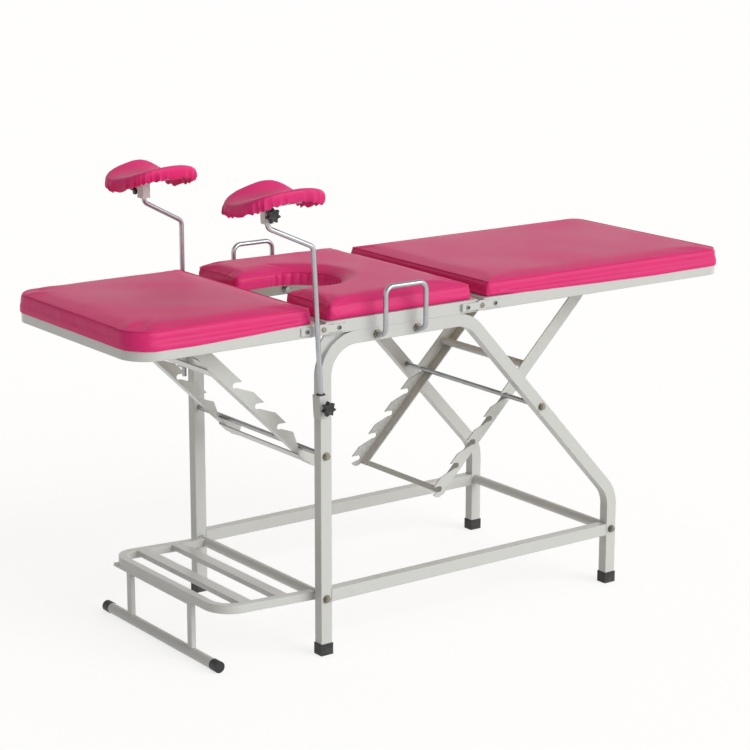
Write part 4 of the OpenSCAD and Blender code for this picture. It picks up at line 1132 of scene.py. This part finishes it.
class TABLE_OT_welds(bpy.types.Operator):
    """Lays weld beads where the lower rails meet the legs and the slats meet the step's loop"""

    bl_idname = "exam_table.welds"
    bl_label = "Weld beads"

    def execute(self, context):
        h = hardware()
        for name, body, loops in (
            ("rail_welds", "base", rail_end_loops()), ("slat_welds", "step", slat_end_loops())
        ):
            edges, start = [], 0
            for loop in loops:
                edges += [(start + i, start + (i + 1) % len(loop)) for i in range(len(loop))]
                start += len(loop)
            obj = mesh_object(name, [p for loop in loops for p in loop], [], edges)
            enamel = finish("white_enamel")
            grow(obj, weld_tree(), Weld_radius=h.weld_radius, Ripple_pitch=h.ripple_pitch, Enamel=enamel)
            own_piece(obj, body, slot="white_enamel")
        return {"FINISHED"}


# Knee pads and knobs of the leg holders

# Each side's socket: how far it stands ahead of the front leg, how far its rod is drawn out, its lean in
# degrees, and 1 for the near side or -1 for the far side, which is mirrored
HOLDERS = {"left": (0.024, 0.031, -3.1, 1), "right": (0.016, 0.0, 0.0, -1)}
HALF_LEG_TUBE, HOLDER_Y, SOCKET_Z = 0.015, 0.306, 0.612
# The stub that carries a knee pad: its turn in degrees, its foot from the socket, and its height
STUB_TURN, STUB_FOOT, STUB_HEIGHT = -5.6, (-0.1115, 0.0, 0.399), 0.044
# Where a knob's face stands from its socket or stub, and how long its stud is
LOWER_KNOB, LOWER_STUD = (0, -0.022, 0), 0.012
UPPER_KNOB, UPPER_STUD = (0, -0.021, 0.0325), 0.0125

# A knee pad's form: place and turn on its stub, roundness, and the heights of its saddle
PAD = dict(
    x=0.0150, y=-0.0098, turn=0.192, power=3.4, dish=0.0375, dish_near=0.0033, dish_power=2.5, arch=0.0045,
    arch_back=0.0166, tilt_u=0.0008, tilt_v=-0.0189, twist=0.0170, twist_near=-0.0043, hem_ripple=0.0024,
    hem_sway=0.0016,
)
# Rows down a pad: share of its outline, depth as a share of the side, and share of the gathers
PAD_ROWS = [
    (0.06, 0.0, 0.0), (0.3, 0.0, 0.0), (0.55, 0.0, 0.0), (0.75, 0.0, 0.0), (0.87, 0.02, 0.0),
    (0.94, 0.07, 0.02), (0.98, 0.17, 0.06), (1.0, 0.32, 0.16), (1.005, 0.5, 0.36), (0.998, 0.68, 0.62),
    (0.985, 0.84, 0.9), (0.965, 0.95, 1.0), (0.94, 1.0, 0.95), (0.915, 0.985, 0.8), (0.895, 0.9, 0.6),
    (0.88, 0.72, 0.35), (0.84, 0.45, 0.1), (0.6, 0.28, 0.0), (0.3, 0.28, 0.0), (0.06, 0.28, 0.0),
]
PAD_ROW_COUNT, PAD_ROUND_COUNT = 76, 320
# Rows along a knob from the tip of its stud: place along it, share of the radius, and how round the row is
KNOB_ROWS = [
    (-1.0, 0.21, 1), (-0.95, 0.26, 1), (0.0, 0.26, 1), (0.0, 0.62, 1), (0.0, 0.84, 0), (0.05, 0.93, 0),
    (0.14, 0.98, 0), (0.26, 1.0, 0), (0.7, 1.0, 0), (0.86, 0.98, 0), (0.95, 0.93, 0), (1.0, 0.84, 0),
    (1.0, 0.6, 1), (0.93, 0.54, 1), (0.93, 0.2, 1),
]
KNOB_LOBES, KNOB_ROUND_COUNT = 7, 7 * 24


def socket_frame(side):
    """Where a leg holder's socket stands, drawn for the left side and mirrored for the right."""
    ahead, _, lean, way = HOLDERS[side]
    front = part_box("left_side_frame")[0][0] + HALF_LEG_TUBE
    place = Matrix.Translation((front - ahead, -way * HOLDER_Y, SOCKET_Z))
    if way < 0:
        place = place @ Matrix.Diagonal((1, -1, 1, 1))
    return place @ Matrix.Rotation(math.radians(lean), 4, "Y")


def stub_frame(side):
    """The foot of the stub that carries a knee pad."""
    drawn = HOLDERS[side][1]
    turned = Matrix.Rotation(math.radians(STUB_TURN), 4, "Z")
    return socket_frame(side) @ Matrix.Translation((0, 0, drawn)) @ turned @ Matrix.Translation(STUB_FOOT)


def turned_skin(name, rows, matrix):
    """A closed skin from rows of points, the first and last row closed to their middles."""
    n, m = len(rows[0]), np.array(matrix)
    points = np.concatenate([*rows, [rows[0].mean(axis=0)], [rows[-1].mean(axis=0)]]) @ m[:3, :3].T + m[:3, 3]
    first, last, end = len(points) - 2, len(points) - 1, (len(rows) - 1) * n
    faces = ring_faces(len(rows), n) + [((i + 1) % n, i, first) for i in range(n)]
    faces += [(end + i, end + (i + 1) % n, last) for i in range(n)]
    return face_outward(mesh_object(name, points, faces))


def pad_height(u, v):
    """Height of a knee pad's saddle at a place from -1 to 1 along it and across it."""
    f = PAD
    raised = np.where(v > 0, f["dish"] + f["twist"] * u, f["dish_near"] + f["twist_near"] * u)
    arch = np.where(u > 0, f["arch_back"], f["arch"]) * u ** 2
    return raised * np.abs(v) ** f["dish_power"] - arch + f["tilt_u"] * u + f["tilt_v"] * v


def knee_pad(side, seed):
    u = upholstery()
    steps = np.linspace(0, len(PAD_ROWS) - 1, PAD_ROW_COUNT)
    table = np.array(PAD_ROWS)
    share, depth, gather = (np.interp(steps, np.arange(len(table)), table[:, k]) for k in range(3))
    a = np.linspace(0, 2 * math.pi, PAD_ROUND_COUNT, endpoint=False)
    cu, cv = (np.sign(f(a)) * np.abs(f(a)) ** (2 / PAD["power"]) for f in (np.cos, np.sin))
    rng = np.random.default_rng(seed)
    p1, p2, p3, p4 = rng.uniform(0, 2 * math.pi, 4)
    run = a + 0.07 * np.sin(3 * a + p1) + 0.035 * np.sin(7 * a + p2)
    fold = 0.5 - np.abs(np.sin(run * u.gathers / 2)) ** 0.75 + 0.25 * np.sin(run * 17 + p3)
    fold *= 0.75 + 0.25 * np.sin(5 * a + p4)
    turn = PAD["turn"]
    rows = []
    for s, d, g in zip(share, depth, gather):
        pu, pv = cu * min(s, 1.0), cv * min(s, 1.0)
        out = s + g * fold * u.gather_depth / (u.pad_width / 2)
        x, y = cu * out * u.pad_length / 2, cv * out * u.pad_width / 2
        z = STUB_HEIGHT + u.pad_height + pad_height(pu, pv) - d * u.pad_side
        z = z + g * PAD["hem_ripple"] * np.sin(run * u.gathers + 1.0)
        z = z - g * PAD["hem_sway"] * np.sin(4 * a + p1)
        along = PAD["x"] + x * math.cos(turn) - y * math.sin(turn)
        across = PAD["y"] + x * math.sin(turn) + y * math.cos(turn)
        # The mirrored side is mirrored back, because both pads have the same form
        rows.append(np.c_[along, HOLDERS[side][3] * across, z])
    return dress(turned_skin(side + "_pad_cover", rows, stub_frame(side)), "pink_leather")


class TABLE_OT_knee_pads(bpy.types.Operator):
    """Makes the saddle-shaped knee pads with their gathered hems"""

    bl_idname = "exam_table.knee_pads"
    bl_label = "Knee pads"

    def execute(self, context):
        for side, seed in (("left", 5), ("right", 8)):
            node = side + "_knee_pad"
            own_piece(knee_pad(side, seed), body_of(node), node, slot="pink_leather", fill=0.6)
        return {"FINISHED"}


def star_knob(name, matrix, stud):
    h = hardware()
    a = np.linspace(0, 2 * math.pi, KNOB_ROUND_COUNT, endpoint=False)
    star = h.knob_radius + h.knob_lobe * (1 - 2 * np.abs(np.sin(KNOB_LOBES / 2 * a)) ** 1.3)
    rows = []
    for along, share, roundness in KNOB_ROWS:
        y = along * (stud if along < 0 else h.knob_height)
        radius = share * (star * (1 - roundness) + h.knob_radius * roundness)
        rows.append(np.c_[radius * np.sin(a), np.full(len(a), -y), radius * np.cos(a)])
    obj = turned_skin(name, rows, matrix)
    bevel = obj.modifiers.new("Bevel", "BEVEL")
    bevel.width, bevel.segments = h.knob_edge, 2
    bevel.limit_method, bevel.angle_limit = "ANGLE", math.radians(35)
    return dress(settle(obj), "black_plastic")


class TABLE_OT_knobs(bpy.types.Operator):
    """Makes the four star knobs with their studs"""

    bl_idname = "exam_table.knobs"
    bl_label = "Star knobs"

    def execute(self, context):
        for side in HOLDERS:
            for level, place, shift, stud in (
                ("_lower", socket_frame(side), LOWER_KNOB, LOWER_STUD),
                ("_upper", stub_frame(side), UPPER_KNOB, UPPER_STUD),
            ):
                node = side + level + "_knob"
                obj = star_knob(side + level + "_star", place @ Matrix.Translation(shift), stud)
                own_piece(obj, body_of(node), node, slot="black_plastic")
        return {"FINISHED"}


# Panel and registration


class TABLE_PT_panel(bpy.types.Panel):
    """Lists the sizes, colours and pieces of the table"""

    bl_idname = "TABLE_PT_panel"
    bl_label = "Examination table"
    bl_space_type = "VIEW_3D"
    bl_region_type = "UI"
    bl_category = "Exam table"

    def draw(self, context):
        for name in GROUPS:
            group = getattr(context.scene, name)
            box = self.layout.box()
            for value in group.__annotations__:
                box.prop(group, value)
        for operator in OPERATORS:
            self.layout.operator(operator.bl_idname)


OPERATORS = (
    TABLE_OT_stage, TABLE_OT_finishes, TABLE_OT_section_covers, TABLE_OT_knee_pads, TABLE_OT_knobs,
    TABLE_OT_screws, TABLE_OT_welds,
)
GROUPS = {
    "table_upholstery": TableUpholstery,
    "table_hardware": TableHardware,
    "table_colours": TableColours,
}


def register():
    for kind in (*GROUPS.values(), *OPERATORS, TABLE_PT_panel):
        bpy.utils.register_class(kind)
    for name, kind in GROUPS.items():
        setattr(bpy.types.Scene, name, bpy.props.PointerProperty(type=kind))


def unregister():
    for name in GROUPS:
        delattr(bpy.types.Scene, name)
    for kind in reversed((*GROUPS.values(), *OPERATORS, TABLE_PT_panel)):
        bpy.utils.unregister_class(kind)


def main():
    register()
    for operator in OPERATORS:
        group, name = operator.bl_idname.split(".")
        getattr(getattr(bpy.ops, group), name)()


if __name__ == "__main__":
    main()
